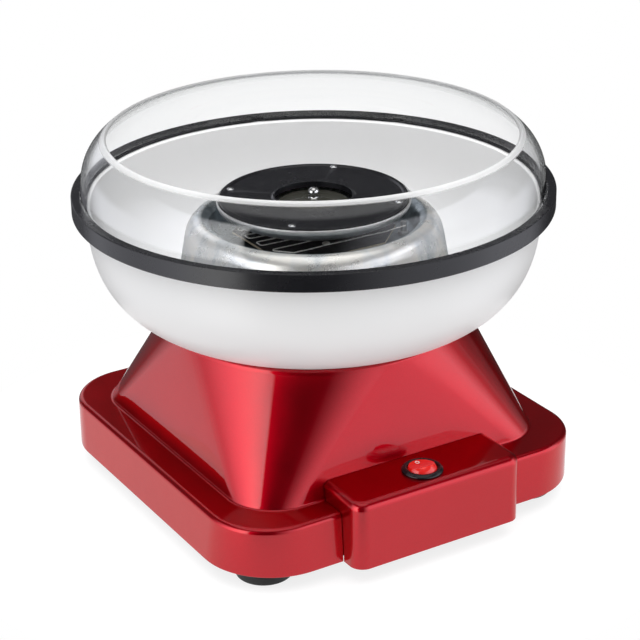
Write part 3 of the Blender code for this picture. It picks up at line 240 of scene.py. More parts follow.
# ---- Materials ----
class Look:
    """A material under construction, with short calls for the nodes that the looks share."""

    def __init__(self, name, roughness=0.4, metallic=0.0):
        self.material = bpy.data.materials.new(name)
        self.material.use_nodes = True
        self.tree = self.material.node_tree
        self.shader = self.tree.nodes["Principled BSDF"]
        self.coords = self.tree.nodes.new("ShaderNodeTexCoord").outputs["Object"]
        self.set("Roughness", roughness)
        self.set("Metallic", metallic)
        self.normal = None

    def set(self, socket, value):
        self.shader.inputs[socket].default_value = value

    def wire(self, output, socket):
        self.tree.links.new(output, self.shader.inputs[socket])

    def noise(self, scale, detail=3.0, roughness=0.55, stretch=None):
        """Cloudy pattern from 0 to 1, with about that many patches to the metre."""
        vector = self.coords
        if stretch:
            vector = add_node(self.tree, "Mapping", "Vector", {"Scale": stretch, "Vector": vector})
        sockets = {"Scale": scale, "Detail": detail, "Roughness": roughness, "Vector": vector}
        return add_node(self.tree, "TexNoise", "Fac", sockets)

    def cells(self, scale, output, feature="F1"):
        """Pattern of small cells, like flakes or the meshes of a net."""
        sockets = {"Scale": scale, "Vector": self.coords}
        return add_node(self.tree, "TexVoronoi", output, sockets, feature=feature)

    def spread(self, value, low, high, start=0.3, end=0.7):
        """Maps start..end of a pattern to low..high."""
        sockets = {"Value": value, "From Min": start, "From Max": end, "To Min": low, "To Max": high}
        return add_node(self.tree, "MapRange", "Result", sockets)

    def gloss(self, low, high, scale, detail=3.0, roughness=0.55):
        """Patchy roughness from low to high."""
        self.wire(self.spread(self.noise(scale, detail, roughness), low, high), "Roughness")

    def colours(self, value, *stops):
        return ramp(self.tree, value, stops)

    def cloudy(self, first, second, scale, detail=3.0):
        """Base colour that goes in clouds from the first to the second."""
        colour = self.colours(self.noise(scale, detail), (0.3, first), (0.7, second))
        self.wire(colour, "Base Color")

    def blend(self, factor, first, second):
        return mixed(self.tree, factor, first, second)

    def axes(self):
        """The x, y and z of a place on the object at rest, in metres."""
        split = self.tree.nodes.new("ShaderNodeSeparateXYZ")
        self.tree.links.new(self.coords, split.inputs[0])
        return split.outputs

    def radius(self):
        """Distance from the spin axis, in metres."""
        squares = [math_node(self.tree, "MULTIPLY", along, along) for along in self.axes()[:2]]
        return math_node(self.tree, "SQRT", math_node(self.tree, "ADD", *squares))

    def bump(self, height, depth, strength=1.0):
        """Adds relief of that depth in metres to the relief so far."""
        sockets = {"Distance": depth, "Strength": strength, "Height": height}
        if self.normal is not None:
            sockets["Normal"] = self.normal
        self.normal = add_node(self.tree, "Bump", "Normal", sockets)
        self.wire(self.normal, "Normal")

    def edges(self, low=0.505, high=0.58):
        """0 on flat stretches and 1 where a convex edge has rubbed."""
        shape = add_node(self.tree, "NewGeometry", "Pointiness", {})
        return self.spread(shape, 0.0, 1.0, low, high)


def red_lacquer():
    """Candy red over metal flake, under a clear coat with a faint orange peel."""
    look = Look("red_lacquer", metallic=0.97)
    flake = look.cells(5200.0, "Color")
    cloud = look.noise(22.0, 2.0)
    dark, light = (0.45, 0.0008, 0.0090), (0.60, 0.0016, 0.0130)
    deep = look.colours(flake, (0.0, dark), (1.0, light))
    look.wire(look.blend(look.spread(cloud, 0.0, 0.35), deep, dark), "Base Color")
    look.gloss(0.33, 0.39, 60.0, 4.0)
    look.set("Specular IOR Level", 0.2)
    look.set("Specular Tint", (1.0, 0.2, 0.25, 1.0))
    look.set("Coat Weight", 1.0)
    look.set("Coat Roughness", 0.035)
    look.set("Coat IOR", 1.5)
    look.bump(flake, 0.0000025)
    peel = {"Distance": 0.0000022, "Height": look.noise(420.0, 2.0)}
    look.wire(add_node(look.tree, "Bump", "Normal", peel), "Coat Normal")
    return look.material


def moulded(name, colour, worn, roughness, grain=1400.0, depth=0.000004, coat=0.0):
    """Moulded plastic with a fine skin texture, slight sheen changes and rubbed edges."""
    look = Look(name)
    cloud = look.noise(35.0, 3.0)
    shade = tuple(channel * 0.86 for channel in colour)
    body = look.blend(look.spread(cloud, 0.0, 1.0), colour, shade)
    look.wire(look.blend(look.edges(), body, worn), "Base Color")
    look.gloss(*roughness, 90.0, 5.0)
    look.set("Coat Weight", coat)
    look.set("Coat Roughness", 0.08)
    look.bump(look.noise(grain, 3.0), depth)
    look.bump(look.noise(55.0, 1.0), 0.00004, 0.25)
    return look.material


def white_plastic():
    """Smooth white plastic, very slightly cloudy."""
    look = Look("white_plastic")
    look.cloudy((0.800, 0.800, 0.805), (0.812, 0.812, 0.816), 16.0, 2.0)
    look.gloss(0.30, 0.36, 50.0, 4.0)
    look.bump(look.noise(700.0, 2.0), 0.0000025)
    return look.material


GUARD_FROST = (0.2112, 0.2120)  # heights over which the guard's edge turns hazy
MOUTH_SHADE_RADII = (0.0635, 0.0652)  # radii over which the painted shade inside the heater bowl's mouth ends


def clear_plastic():
    """Clear plastic with the faint flow lines of moulding, fine wiping scratches and a frosted edge."""
    look = Look("clear_plastic", roughness=0.015)
    look.set("IOR", 1.49)
    look.cloudy((0.985, 0.99, 0.992), (0.995, 0.997, 0.998), 45.0)
    edge = soft_step(look.tree, look.axes()[2], *GUARD_FROST)
    polish = look.spread(look.noise(160.0, 5.0), 0.004, 0.03)
    look.wire(math_node(look.tree, "MULTIPLY_ADD", edge, 0.30, polish), "Roughness")
    look.wire(math_node(look.tree, "MULTIPLY_ADD", edge, -0.34, 1.0), "Transmission Weight")
    look.bump(look.noise(26.0, 1.0, stretch=(1.0, 1.0, 3.0)), 0.00006, 0.35)
    look.bump(look.noise(240.0, 4.0, stretch=(1.0, 1.0, 6.0)), 0.0000015)
    tint = {"Color": (0.62, 0.68, 0.72, 1.0), "Density": 24.0}
    inside = add_node(look.tree, "VolumeAbsorption", "Volume", tint)
    look.tree.links.new(inside, look.tree.nodes["Material Output"].inputs["Volume"])
    return look.material


def spun_aluminium():
    """Pressed and polished aluminium: ring-shaped polishing marks and a gently uneven face."""
    look = Look("polished_aluminium", metallic=1.0)
    look.cloudy((0.80, 0.81, 0.83), (0.90, 0.90, 0.905), 30.0)
    look.gloss(0.07, 0.20, 120.0, 6.0, 0.7)
    sockets = {"Scale": 2600.0, "Detail": 4.0, "W": look.radius()}
    rings = add_node(look.tree, "TexNoise", "Fac", sockets, noise_dimensions="1D")
    look.bump(rings, 0.0000035)
    look.bump(look.noise(38.0, 2.0), 0.00042, 0.5)
    return look.material


def pressed_aluminium():
    """Hazy pressed aluminium with cloudy cream and blue-grey patches, with painted shade inside the
    mouth of the heater bowl: darker blue-grey there, under the head."""
    look = Look("pressed_aluminium", metallic=0.86)
    cloud = look.noise(52.0, 4.0, 0.6, stretch=(1.0, 1.0, 0.6))
    body = look.colours(cloud, (0.36, (0.64, 0.68, 0.70)), (0.47, (0.86, 0.87, 0.86)),
                        (0.58, (0.97, 0.95, 0.90)))
    # Painted shade: inside the mouth, under the head, the colour is darker blue-grey.
    painted_mouth_shade = look.colours(cloud, (0.38, (0.16, 0.19, 0.21)), (0.58, (0.40, 0.45, 0.48)))
    outside_mouth_shade = soft_step(look.tree, look.radius(), *MOUTH_SHADE_RADII)
    look.wire(look.blend(outside_mouth_shade, painted_mouth_shade, body), "Base Color")
    look.gloss(0.22, 0.40, 70.0, 5.0, 0.7)
    look.bump(look.noise(38.0, 2.0), 0.0006, 0.6)
    look.bump(look.noise(110.0, 3.0), 0.00003, 0.5)
    return look.material


def metal(name, low, high, roughness, marks=900.0, depth=0.000004, stretch=(1.0, 1.0, 8.0)):
    """Plain metal with drawn or turned marks and a patchy sheen."""
    look = Look(name, metallic=1.0)
    look.cloudy(low, high, 140.0, 4.0)
    look.gloss(*roughness, 300.0, 4.0)
    look.bump(look.noise(marks, 4.0, stretch=stretch), depth)
    return look.material


def gritty(name, first, second, roughness, scale=900.0, depth=0.00002):
    """Matt, grainy material such as rubber, ferrite or fired clay."""
    look = Look(name)
    look.cloudy(first, second, 260.0, 5.0)
    look.gloss(*roughness, 120.0)
    look.bump(look.noise(scale, 4.0), depth)
    return look.material


def mica_sheet():
    """Layered sheet: a black satin face with scorched patches and pale cut edges."""
    look = Look("mica")
    flecks = look.colours(look.noise(520.0, 6.0, 0.7), (0.35, (0.008, 0.008, 0.009)),
                          (0.75, (0.032, 0.028, 0.027)))
    scorch = look.spread(look.noise(70.0, 3.0), 0.0, 0.8)
    face = look.blend(scorch, flecks, (0.010, 0.010, 0.011))
    facing = add_node(look.tree, "NewGeometry", "True Normal", {})
    upward = add_node(look.tree, "SeparateXYZ", 2, {0: facing})
    flat = soft_step(look.tree, math_node(look.tree, "ABSOLUTE", upward), 0.3, 0.7)
    look.wire(look.blend(flat, (0.46, 0.40, 0.30), face), "Base Color")
    look.gloss(0.42, 0.60, 240.0, 4.0)
    look.set("Specular IOR Level", 0.3)
    look.bump(look.noise(620.0, 5.0), 0.00001)
    return look.material


def windings():
    """Copper wire wound side by side."""
    look = Look("copper_windings", metallic=1.0)
    sockets = {"Scale": 600.0, "Vector": look.coords}
    turns = add_node(look.tree, "TexWave", "Fac", sockets, bands_direction="X")
    look.cloudy((0.50, 0.17, 0.06), (0.78, 0.36, 0.18), 200.0)
    look.gloss(0.25, 0.4, 300.0)
    look.bump(turns, 0.00008)
    return look.material


def circuit_green():
    """Green board with a net of raised tracks."""
    look = Look("circuit_board")
    tracks = look.spread(look.cells(260.0, "Distance", "DISTANCE_TO_EDGE"), 1.0, 0.0, 0.02, 0.06)
    look.wire(look.blend(tracks, (0.012, 0.13, 0.04), (0.03, 0.24, 0.09)), "Base Color")
    look.gloss(0.3, 0.5, 300.0)
    look.bump(tracks, 0.00003)
    return look.material


LOOKS = {
    "red_lacquer": red_lacquer(),
    "red_plastic": moulded("red_plastic", (0.80, 0.012, 0.010), (0.86, 0.03, 0.02), (0.12, 0.2),
                           coat=0.6),
    "black_plastic": moulded("black_plastic", (0.007, 0.007, 0.009), (0.02, 0.02, 0.023), (0.22, 0.30)),
    "white_plastic": white_plastic(),
    "clear_plastic": clear_plastic(),
    "black_rubber": gritty("black_rubber", (0.004, 0.004, 0.004), (0.009, 0.009, 0.009), (0.50, 0.65)),
    "polished_aluminium": spun_aluminium(),
    "steel": metal("steel", (0.50, 0.50, 0.49), (0.66, 0.66, 0.65), (0.24, 0.40)),
    "brass": metal("brass", (0.62, 0.44, 0.18), (0.78, 0.58, 0.28), (0.22, 0.38)),
    "copper_windings": windings(),
    "ferrite": gritty("ferrite", (0.045, 0.045, 0.045), (0.075, 0.075, 0.078), (0.5, 0.7)),
    "mica": mica_sheet(),
    "nichrome": moulded("nichrome", (0.98, 0.97, 0.95), (0.94, 0.92, 0.88), (0.20, 0.32), 1500.0,
                        0.000003),
    "ceramic": gritty("ceramic", (0.78, 0.76, 0.70), (0.88, 0.87, 0.82), (0.35, 0.5), 1200.0, 0.000008),
    "circuit_board": circuit_green(),
    "wire_sleeve": gritty("wire_sleeve", (0.70, 0.70, 0.67), (0.82, 0.82, 0.80), (0.4, 0.55)),
}
CHROME = metal("polished_steel", (0.78, 0.78, 0.77), (0.88, 0.88, 0.87), (0.04, 0.09), 500.0, 0.0000006)
PRESSED = pressed_aluminium()
PAN_METAL = metal("pan_aluminium", (0.86, 0.86, 0.85), (0.96, 0.96, 0.95), (0.28, 0.42), 600.0, 0.000004)
HEAD_BLACK = moulded("head_enamel", (0.006, 0.006, 0.008), (0.02, 0.02, 0.023), (0.20, 0.28), 2200.0,
                     0.000003)
HUB_BLACK = moulded("hub_enamel", (0.030, 0.030, 0.024), (0.06, 0.06, 0.05), (0.05, 0.10), 900.0,
                    0.0000015)
MARK_WHITE = gritty("printed_white", (0.78, 0.76, 0.74), (0.88, 0.87, 0.86), (0.35, 0.5), depth=0.000002)

for part in frame["record"]["subparts"]:
    node = frame["nodes"][part["node"]]
    node.data.materials.clear()
    node.data.materials.append(LOOKS[part["material_slot"]])


# ---- Shape tools ----
SHARP_ANGLE = radians(40.0)
CUT_SHARP_ANGLE = radians(32.0)
EDGE_WEIGHT = 80


def spot(name):
    """A CAD node's lowest corner, highest corner and middle."""
    low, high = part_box(name)
    return low, high, (low + high) / 2


def numbered(stem, count):
    """Each CAD node of that name in turn: its number, name, lowest and highest corners, and middle."""
    for number in range(1, count + 1):
        name = stem + "_" + str(number)
        yield (str(number), name, *spot(name))


def holes(stem, count, radius, low, high, steps):
    """Rods for boring a hole at each of the numbered nodes."""
    return [rod_mesh("hole", radius, low, high, middle.x, middle.y, steps)
            for *_, middle in numbered(stem, count)]


def new_piece(name, mesh, body, slot, nodes=(), look=None):
    """Makes the object, shades it, and ties it to its body, finish and CAD nodes."""
    mesh.materials.append(look or LOOKS[slot])
    piece = add_object(name, mesh)
    mesh.shade_smooth()
    mesh.set_sharp_from_angle(angle=SHARP_ANGLE)
    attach(piece, body)
    if nodes:
        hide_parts(*nodes)
    return piece


def filleted(points, closed=False, steps=6):
    """Rounds the corners of (radius, height, fillet) points with arcs."""
    route = []
    count = len(points)
    for index, (r, z, fillet) in enumerate(points):
        if fillet <= 0 or (not closed and index in (0, count - 1)):
            route.append((r, z))
            continue
        here = Vector((r, z))
        before = Vector(points[index - 1][:2]) - here
        after = Vector(points[(index + 1) % count][:2]) - here
        reach_limit = 0.49 * min(before.length, after.length)
        before.normalize()
        after.normalize()
        half = acos(max(-1.0, min(1.0, before.dot(after)))) / 2
        reach = min(fillet / tan(half), reach_limit)
        radius = reach * tan(half)
        centre = here + (before + after).normalized() * (radius / sin(half))
        start = here + before * reach - centre
        end = here + after * reach - centre
        begin = atan2(start.y, start.x)
        sweep = (atan2(end.y, end.x) - begin + pi) % (2 * pi) - pi
        for step in range(steps + 1):
            turn = begin + sweep * step / steps
            route.append((centre.x + radius * cos(turn), centre.y + radius * sin(turn)))
    return route


def turned_mesh(name, route, closed=False, steps=160):
    """Turns (radius, height) points about Z. The route runs down the outer side, then up inside."""
    shape = bmesh.new()
    rings = []
    for r, z in route:
        if r < 1e-7:
            rings.append([shape.verts.new((0.0, 0.0, z))])
            continue
        turns = [2 * pi * step / steps for step in range(steps)]
        rings.append([shape.verts.new((r * cos(turn), r * sin(turn), z)) for turn in turns])
    pairs = list(zip(rings, rings[1:]))
    if closed:
        pairs.append((rings[-1], rings[0]))
    for above, below in pairs:
        for step in range(steps):
            after = (step + 1) % steps
            corners = [above[step % len(above)], below[step % len(below)],
                       below[after % len(below)], above[after % len(above)]]
            corners = [vert for index, vert in enumerate(corners) if vert not in corners[:index]]
            if len(corners) > 2:
                shape.faces.new(corners)
    bmesh.ops.recalc_face_normals(shape, faces=shape.faces)
    return finished(name, shape)


def turned(name, points, body, slot, nodes, closed=False, steps=160, arc=6, centre=(0, 0, 0), turn=None,
           look=None):
    """A turned piece from (radius, height, fillet) points, put in place."""
    mesh = turned_mesh(name, filleted(points, closed, arc), closed, steps)
    if turn is not None:
        mesh.transform(turn)
    mesh.transform(Matrix.Translation(centre))
    return new_piece(name, mesh, body, slot, nodes, look)


def tube(name, route, radius, body, slot, nodes=(), cyclic=False, rings=5, look=None):
    """A round wire along the points."""
    curve = bpy.data.curves.new(name, "CURVE")
    curve.dimensions = "3D"
    curve.bevel_depth = radius
    curve.bevel_resolution = rings
    curve.use_fill_caps = True
    spline = curve.splines.new("POLY")
    spline.points.add(len(route) - 1)
    spline.use_cyclic_u = cyclic
    for point, place in zip(spline.points, route):
        point.co = (*place, 1.0)
    maker = add_object(name + "_curve", curve)
    bpy.context.view_layer.update()
    mesh = bpy.data.meshes.new_from_object(maker.evaluated_get(bpy.context.evaluated_depsgraph_get()))
    mesh.name = name
    bpy.data.objects.remove(maker, do_unlink=True)
    shape = bmesh.new()
    shape.from_mesh(mesh)
    bmesh.ops.remove_doubles(shape, verts=shape.verts, dist=1e-6)
    shape.to_mesh(mesh)
    shape.free()
    return new_piece(name, mesh, body, slot, nodes, look)


def settle(piece, meshes=(), operation="DIFFERENCE", weighted=True):
    """Cuts with the meshes and applies the modifiers, so that the mesh itself is the finished shape."""
    cutters = [add_object(mesh.name, mesh) for mesh in meshes]
    for other in cutters:
        step = piece.modifiers.new("cut", "BOOLEAN")
        step.operation = operation
        step.solver = "EXACT"
        step.object = other
    bpy.context.view_layer.update()
    graph = bpy.context.evaluated_depsgraph_get()
    mesh = bpy.data.meshes.new_from_object(piece.evaluated_get(graph), depsgraph=graph)
    mesh.name = piece.data.name
    piece.modifiers.clear()
    piece.data = mesh
    for other in cutters:
        bpy.data.objects.remove(other, do_unlink=True)
    mesh.shade_smooth()
    mesh.set_sharp_from_angle(angle=CUT_SHARP_ANGLE)
    if weighted:
        even = piece.modifiers.new("even_normals", "WEIGHTED_NORMAL")
        even.mode = "FACE_AREA"
        even.weight = EDGE_WEIGHT
        even.keep_sharp = True
    return piece


def block_mesh(name, low, high):
    """A box between two corners."""
    shape = bmesh.new()
    bmesh.ops.create_cube(shape, size=1.0)
    low, high = Vector(low), Vector(high)
    for vert in shape.verts:
        vert.co = (low + high) / 2 + Vector([a * b for a, b in zip(vert.co, high - low)])
    return finished(name, shape)


def rod_mesh(name, radius, low, high, x=0.0, y=0.0, steps=48):
    """An upright round rod between two heights."""
    shape = bmesh.new()
    bmesh.ops.create_cone(shape, cap_ends=True, segments=steps, radius1=radius, radius2=radius,
                          depth=high - low, matrix=Matrix.Translation((x, y, (low + high) / 2)))
    return finished(name, shape)


# ---- Base shell ----
BASE_LOW, BASE_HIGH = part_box("base_housing")
BOX_LOW, BOX_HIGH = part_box("switch_box")
WALL = 0.0025
SKIRT_HALF = BASE_HIGH.x
SKIRT_CORNER = 0.0429
SHELF_Z = 0.0393
SHELF_HALF = 0.1158
SHELF_CORNER = 0.0370
SHELF_ROUND = 0.0030
FOOT_HALF = 0.0980
FOOT_CORNER = 0.0292
FOOT_ROUND = 0.0016
DECK_Z = BASE_HIGH.z
TOWER_RADIUS = 0.08755
TOWER_CHAMFER = 0.0023
DECK_HOLE = 0.0240
INLET_HOLE = 0.0072
SKIRT_INSIDE = 0.1174
FACE_SPREAD = radians(6.0)
CORNER_STEPS = 22
SIDE_STEPS = 5


def quarter_turned(x, y, quadrant):
    """The place after that many quarter turns about Z."""
    for _ in range(quadrant):
        x, y = -y, x
    return x, y


def square_ring(half, corner, height):
    """A rounded square, from the middle of its +X side, with extra points along its sides."""
    ring = []
    flat = half - corner
    for quadrant in range(4):
        places = [(half, flat * step / SIDE_STEPS) for step in range(SIDE_STEPS)]
        for step in range(CORNER_STEPS + 1):
            turn = pi / 2 * step / CORNER_STEPS
            places.append((flat + corner * cos(turn), flat + corner * sin(turn)))
        places += [(flat * (SIDE_STEPS - step) / SIDE_STEPS, half) for step in range(1, SIDE_STEPS)]
        ring += [Vector((*quarter_turned(x, y, quadrant), height)) for x, y in places]
    return ring


def round_ring(radius, height):
    """A circle whose points match those of the rounded square."""
    ring = []
    for quadrant in range(4):
        turns = [FACE_SPREAD * step / SIDE_STEPS for step in range(SIDE_STEPS)]
        turns += [FACE_SPREAD + (pi / 2 - 2 * FACE_SPREAD) * step / CORNER_STEPS
                  for step in range(CORNER_STEPS + 1)]
        turns += [pi / 2 - FACE_SPREAD * (SIDE_STEPS - step) / SIDE_STEPS
                  for step in range(1, SIDE_STEPS)]
        for turn in turns:
            place = quarter_turned(radius * cos(turn), radius * sin(turn), quadrant)
            ring.append(Vector((*place, height)))
    return ring


def shell_rings():
    """The outer face from the skirt's foot to the hole in the deck, as matching rings of points."""
    low = BASE_LOW.z
    edge, lip = 0.0007, 0.0006
    rings = [square_ring(SKIRT_HALF - lip, SKIRT_CORNER - lip, low)]
    for step in range(1, 4):
        turn = pi / 2 * step / 3
        inset = lip * (1 - sin(turn))
        rings.append(square_ring(SKIRT_HALF - inset, SKIRT_CORNER - inset, low + edge * (1 - cos(turn))))
    skirt_top = SHELF_Z - SHELF_ROUND
    for share in (0.04, 0.35, 0.65, 0.96, 1.0):
        half = SKIRT_HALF + (SHELF_HALF - SKIRT_HALF) * share
        corner = SKIRT_CORNER + (SHELF_CORNER - SKIRT_CORNER) * share
        rings.append(square_ring(half, corner, low + edge + (skirt_top - low - edge) * share))
    for step in range(1, 11):
        turn = pi / 2 * step / 10
        inset = SHELF_ROUND * (1 - cos(turn))
        height = skirt_top + SHELF_ROUND * sin(turn)
        rings.append(square_ring(SHELF_HALF - inset, SHELF_CORNER - inset, height))
    reach = SHELF_HALF - SHELF_ROUND - FOOT_HALF - FOOT_ROUND
    for share in (0.04, 0.5, 0.96):
        half = SHELF_HALF - SHELF_ROUND - reach * share
        corner = (SHELF_CORNER - SHELF_ROUND) * (1 - share) + (FOOT_CORNER + FOOT_ROUND) * share
        rings.append(square_ring(half, corner, SHELF_Z))
    for step in range(7):
        turn = radians(80.0) * step / 6
        grown = FOOT_ROUND * (1 - sin(turn))
        height = SHELF_Z + FOOT_ROUND * (1 - cos(turn))
        rings.append(square_ring(FOOT_HALF + grown, FOOT_CORNER + grown, height))
    foot = rings[-1]
    top = round_ring(TOWER_RADIUS, DECK_Z - TOWER_CHAMFER)
    for share in [0.015] + [step / 16 for step in range(1, 16)] + [0.985, 1.0]:
        rings.append([low_point.lerp(high_point, share) for low_point, high_point in zip(foot, top)])
    for step in range(1, 6):
        turn = pi / 2 * step / 5
        inset = TOWER_CHAMFER * (1 - cos(turn))
        rings.append(round_ring(TOWER_RADIUS - inset, DECK_Z - TOWER_CHAMFER * (1 - sin(turn))))
    for radius in (0.0845, 0.06, DECK_HOLE + 0.0004, DECK_HOLE):
        rings.append(round_ring(radius, DECK_Z))
    return rings


def base_shell():
    """Skirt, shelf and tower as one shell, notched for the switch box and bored for the cord inlet."""
    shape = bmesh.new()
    rings = [[shape.verts.new(point) for point in ring] for ring in shell_rings()]
    for below, above in zip(rings, rings[1:]):
        for index in range(len(below)):
            after = (index + 1) % len(below)
            shape.faces.new((below[index], below[after], above[after], above[index]))
    mesh = finished("base_shell", shape)
    shell = new_piece("base_shell", mesh, "base", "red_lacquer", ["base_housing"])
    wall = shell.modifiers.new("wall", "SOLIDIFY")
    wall.thickness = WALL
    wall.offset = -1.0
    wall.use_even_offset = True
    notch = block_mesh("notch", (BOX_LOW.x - GAP, BOX_LOW.y - 0.01, 0.0),
                       (BOX_HIGH.x + GAP, -FOOT_HALF - FOOT_ROUND - 0.0002, SHELF_Z + 0.01))
    hole = rod_mesh("hole", INLET_HOLE, -0.02, 0.02)
    hole.transform(Matrix.Translation(spot("cord_bush")[2]) @ Matrix.Rotation(pi / 2, 4, "X"))
    settle(shell, [notch, hole])


# ---- Switch box ----
BOX_LEAN = 0.175
BOX_CORNER = 0.0080
BOX_TOP_ROUND = 0.0048
SWITCH_HOLE = 0.0102


def rounded_block(name, low, high, corner, top):
    """A box that leans at the back, with its upright front edges and its top edges rounded."""
    mesh = block_mesh(name, low, high)
    shape = bmesh.new()
    shape.from_mesh(mesh)
    front, back, roof = low[1], high[1], high[2]
    for vert in shape.verts:
        if vert.co.y > front + 1e-6:
            vert.co.y -= BOX_LEAN * (roof - vert.co.z)
    upright = [edge for edge in shape.edges
               if all(abs(vert.co.y - front) < 1e-6 for vert in edge.verts)
               and abs(edge.verts[0].co.z - edge.verts[1].co.z) > 1e-6]
    bmesh.ops.bevel(shape, geom=upright, offset=corner, segments=14, profile=0.5, affect="EDGES")
    rim = [edge for edge in shape.edges
           if all(abs(vert.co.z - roof) < 1e-6 for vert in edge.verts)
           and not all(abs(vert.co.y - back) < 1e-6 for vert in edge.verts)]
    bmesh.ops.bevel(shape, geom=rim, offset=top, segments=9, profile=0.5, affect="EDGES")
    shape.to_mesh(mesh)
    shape.free()
    return mesh


def switch_cover():
    """The hollow box, cut back round the tower's foot and the base cover, and bored for the switch."""
    low, high = BOX_LOW, BOX_HIGH
    outside = rounded_block("switch_cover", low, high, BOX_CORNER, BOX_TOP_ROUND)
    shell = new_piece("switch_cover", outside, "base", "red_lacquer", ["switch_box"])
    hollow = rounded_block("hollow", (low.x + WALL, low.y + WALL, low.z - 0.01),
                           (high.x - WALL, high.y + 0.01, high.z - WALL), BOX_CORNER - WALL,
                           BOX_TOP_ROUND - WALL)
    foot_y = -FOOT_HALF - FOOT_ROUND - 0.0004
    tower = block_mesh("tower", (low.x - 0.01, foot_y, low.z - 0.01),
                       (high.x + 0.01, high.y + 0.02, SHELF_Z + FOOT_ROUND + 0.0004))
    cover = block_mesh("cover", (low.x - 0.01, -SKIRT_INSIDE, low.z - 0.01),
                       (high.x + 0.01, foot_y + 0.001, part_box("base_cover")[0].z + 0.0028))
    hole = rod_mesh("hole", SWITCH_HOLE, high.z - 0.01, high.z + 0.01, SWITCH_MIDDLE.x,
                    SWITCH_MIDDLE.y, 64)
    settle(shell, [hollow, tower, cover, hole])


SWITCH_LOW, SWITCH_HIGH, SWITCH_MIDDLE = spot("switch_body")
ROCKER_JOINT = next(joint for joint in frame["joints"] if joint["name"] == "rocker_tilt")
ROCKER_PIVOT = Vector(ROCKER_JOINT["pos_m"])
ROCKER_RADIUS = 0.0090
ROCKER_TILT = radians(10.5)
DISH_RADIUS = 0.0300
DISH_HEIGHT = 0.0052


def switch_bezel():
    """The switch's body and its bezel, which stands on the box."""
    top = SWITCH_HIGH.z
    seat = BOX_HIGH.z + GAP
    outer = SWITCH_HIGH.x - SWITCH_MIDDLE.x
    inside = ROCKER_RADIUS + 0.00025
    bottom = SWITCH_LOW.z
    points = [
        (inside - 0.0007, top - 0.0004, 0.0003), (inside + 0.0001, top, 0.0004),
        (outer - 0.0012, top - 0.0001, 0.0008), (outer, top - 0.0012, 0.0008), (outer, seat, 0.0002),
        (0.0099, seat, 0.0), (0.0099, bottom, 0.0004), (0.0, bottom, 0.0), (0.0, bottom + 0.0025, 0.0),
        (inside, bottom + 0.0025, 0.0), (inside, top - 0.0016, 0.0003),
    ]
    turned("switch_bezel", points + points[:1], "base", "black_plastic", ["switch_body"], False, 96, 5,
           (SWITCH_MIDDLE.x, SWITCH_MIDDLE.y, 0.0))


def rocker_paddle():
    """The ball-sided rocker, dished along its top, tilted with its front end up."""
    shape = bmesh.new()
    bmesh.ops.create_uvsphere(shape, u_segments=72, v_segments=40, radius=ROCKER_RADIUS)
    everything = list(shape.verts) + list(shape.edges) + list(shape.faces)
    below = bmesh.ops.bisect_plane(shape, geom=everything, plane_co=(0, 0, -0.0040), plane_no=(0, 0, -1),
                                   clear_outer=True)
    rim = [item for item in below["geom_cut"] if isinstance(item, bmesh.types.BMEdge)]
    bmesh.ops.edgenet_fill(shape, edges=rim)
    bmesh.ops.recalc_face_normals(shape, faces=shape.faces)
    mesh = finished("rocker_paddle", shape)
    place = Matrix.Translation(ROCKER_PIVOT) @ Matrix.Rotation(-ROCKER_TILT, 4, "X")
    drum = rod_mesh("drum", DISH_RADIUS, -0.02, 0.02, steps=360)
    above = Matrix.Translation((0, 0, DISH_RADIUS + DISH_HEIGHT))
    drum.transform(place @ above @ Matrix.Rotation(pi / 2, 4, "Y"))
    mesh.transform(place)
    paddle = new_piece("rocker_paddle", mesh, "rocker", "red_plastic", ["rocker"])
    settle(paddle, [drum], weighted=False)
    soften = paddle.modifiers.new("edges", "BEVEL")
    soften.width = 0.0006
    soften.segments = 4
    soften.limit_method = "ANGLE"
    soften.angle_limit = radians(30.0)
    settle(paddle)
    return place


def rocker_mark(place):
    """The ring that stands for off, printed on the raised end of the rocker."""
    ring = []
    for step in range(48):
        turn = 2 * pi * step / 48
        x, y = 0.00105 * cos(turn), 0.0041 + 0.00125 * sin(turn)
        height = DISH_RADIUS + DISH_HEIGHT - sqrt(DISH_RADIUS ** 2 - y ** 2)
        ring.append(place @ Vector((x, y, height + 0.00003)))
    tube("rocker_ring_mark", ring, 0.0002, "rocker", "wire_sleeve", (), True, 3, MARK_WHITE)


# ---- Bowl, ring and guard ----
BOWL_LOW, BOWL_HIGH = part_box("bowl")
RING_LOW, RING_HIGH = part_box("rim_ring")
BOWL_WALL = 0.0022
BOWL_RADIUS = 0.1290
BOWL_FLAT = 0.0620
BOWL_BOTTOM_Z = 0.1045
BOWL_POWER = 2.45
BOWL_SEAT = 0.0865
BOWL_HOLE = 0.0816
GUARD_BASE = 0.1314
GUARD_RIM = 0.1187
GUARD_RIM_Z = 0.2121
GUARD_EDGE_Z = 0.2134
GUARD_POWER = 2.72
GUARD_WALL = 0.0020
LEDGE_Z = 0.1800
LEDGE_RADIUS = 0.1285
COLLAR_Z = 0.1130
LUG_ANGLES = (34.5, 74.5, 154.5, 194.5, 274.5, 314.5)


def offset_route(route, distance):
    """The route moved sideways by a distance, to the left of its direction."""
    moved = []
    for index, (r, z) in enumerate(route):
        before = Vector(route[max(index - 1, 0)])
        after = Vector(route[min(index + 1, len(route) - 1)])
        along = (after - before).normalized()
        moved.append((r - along.y * distance, z + along.x * distance))
    return moved


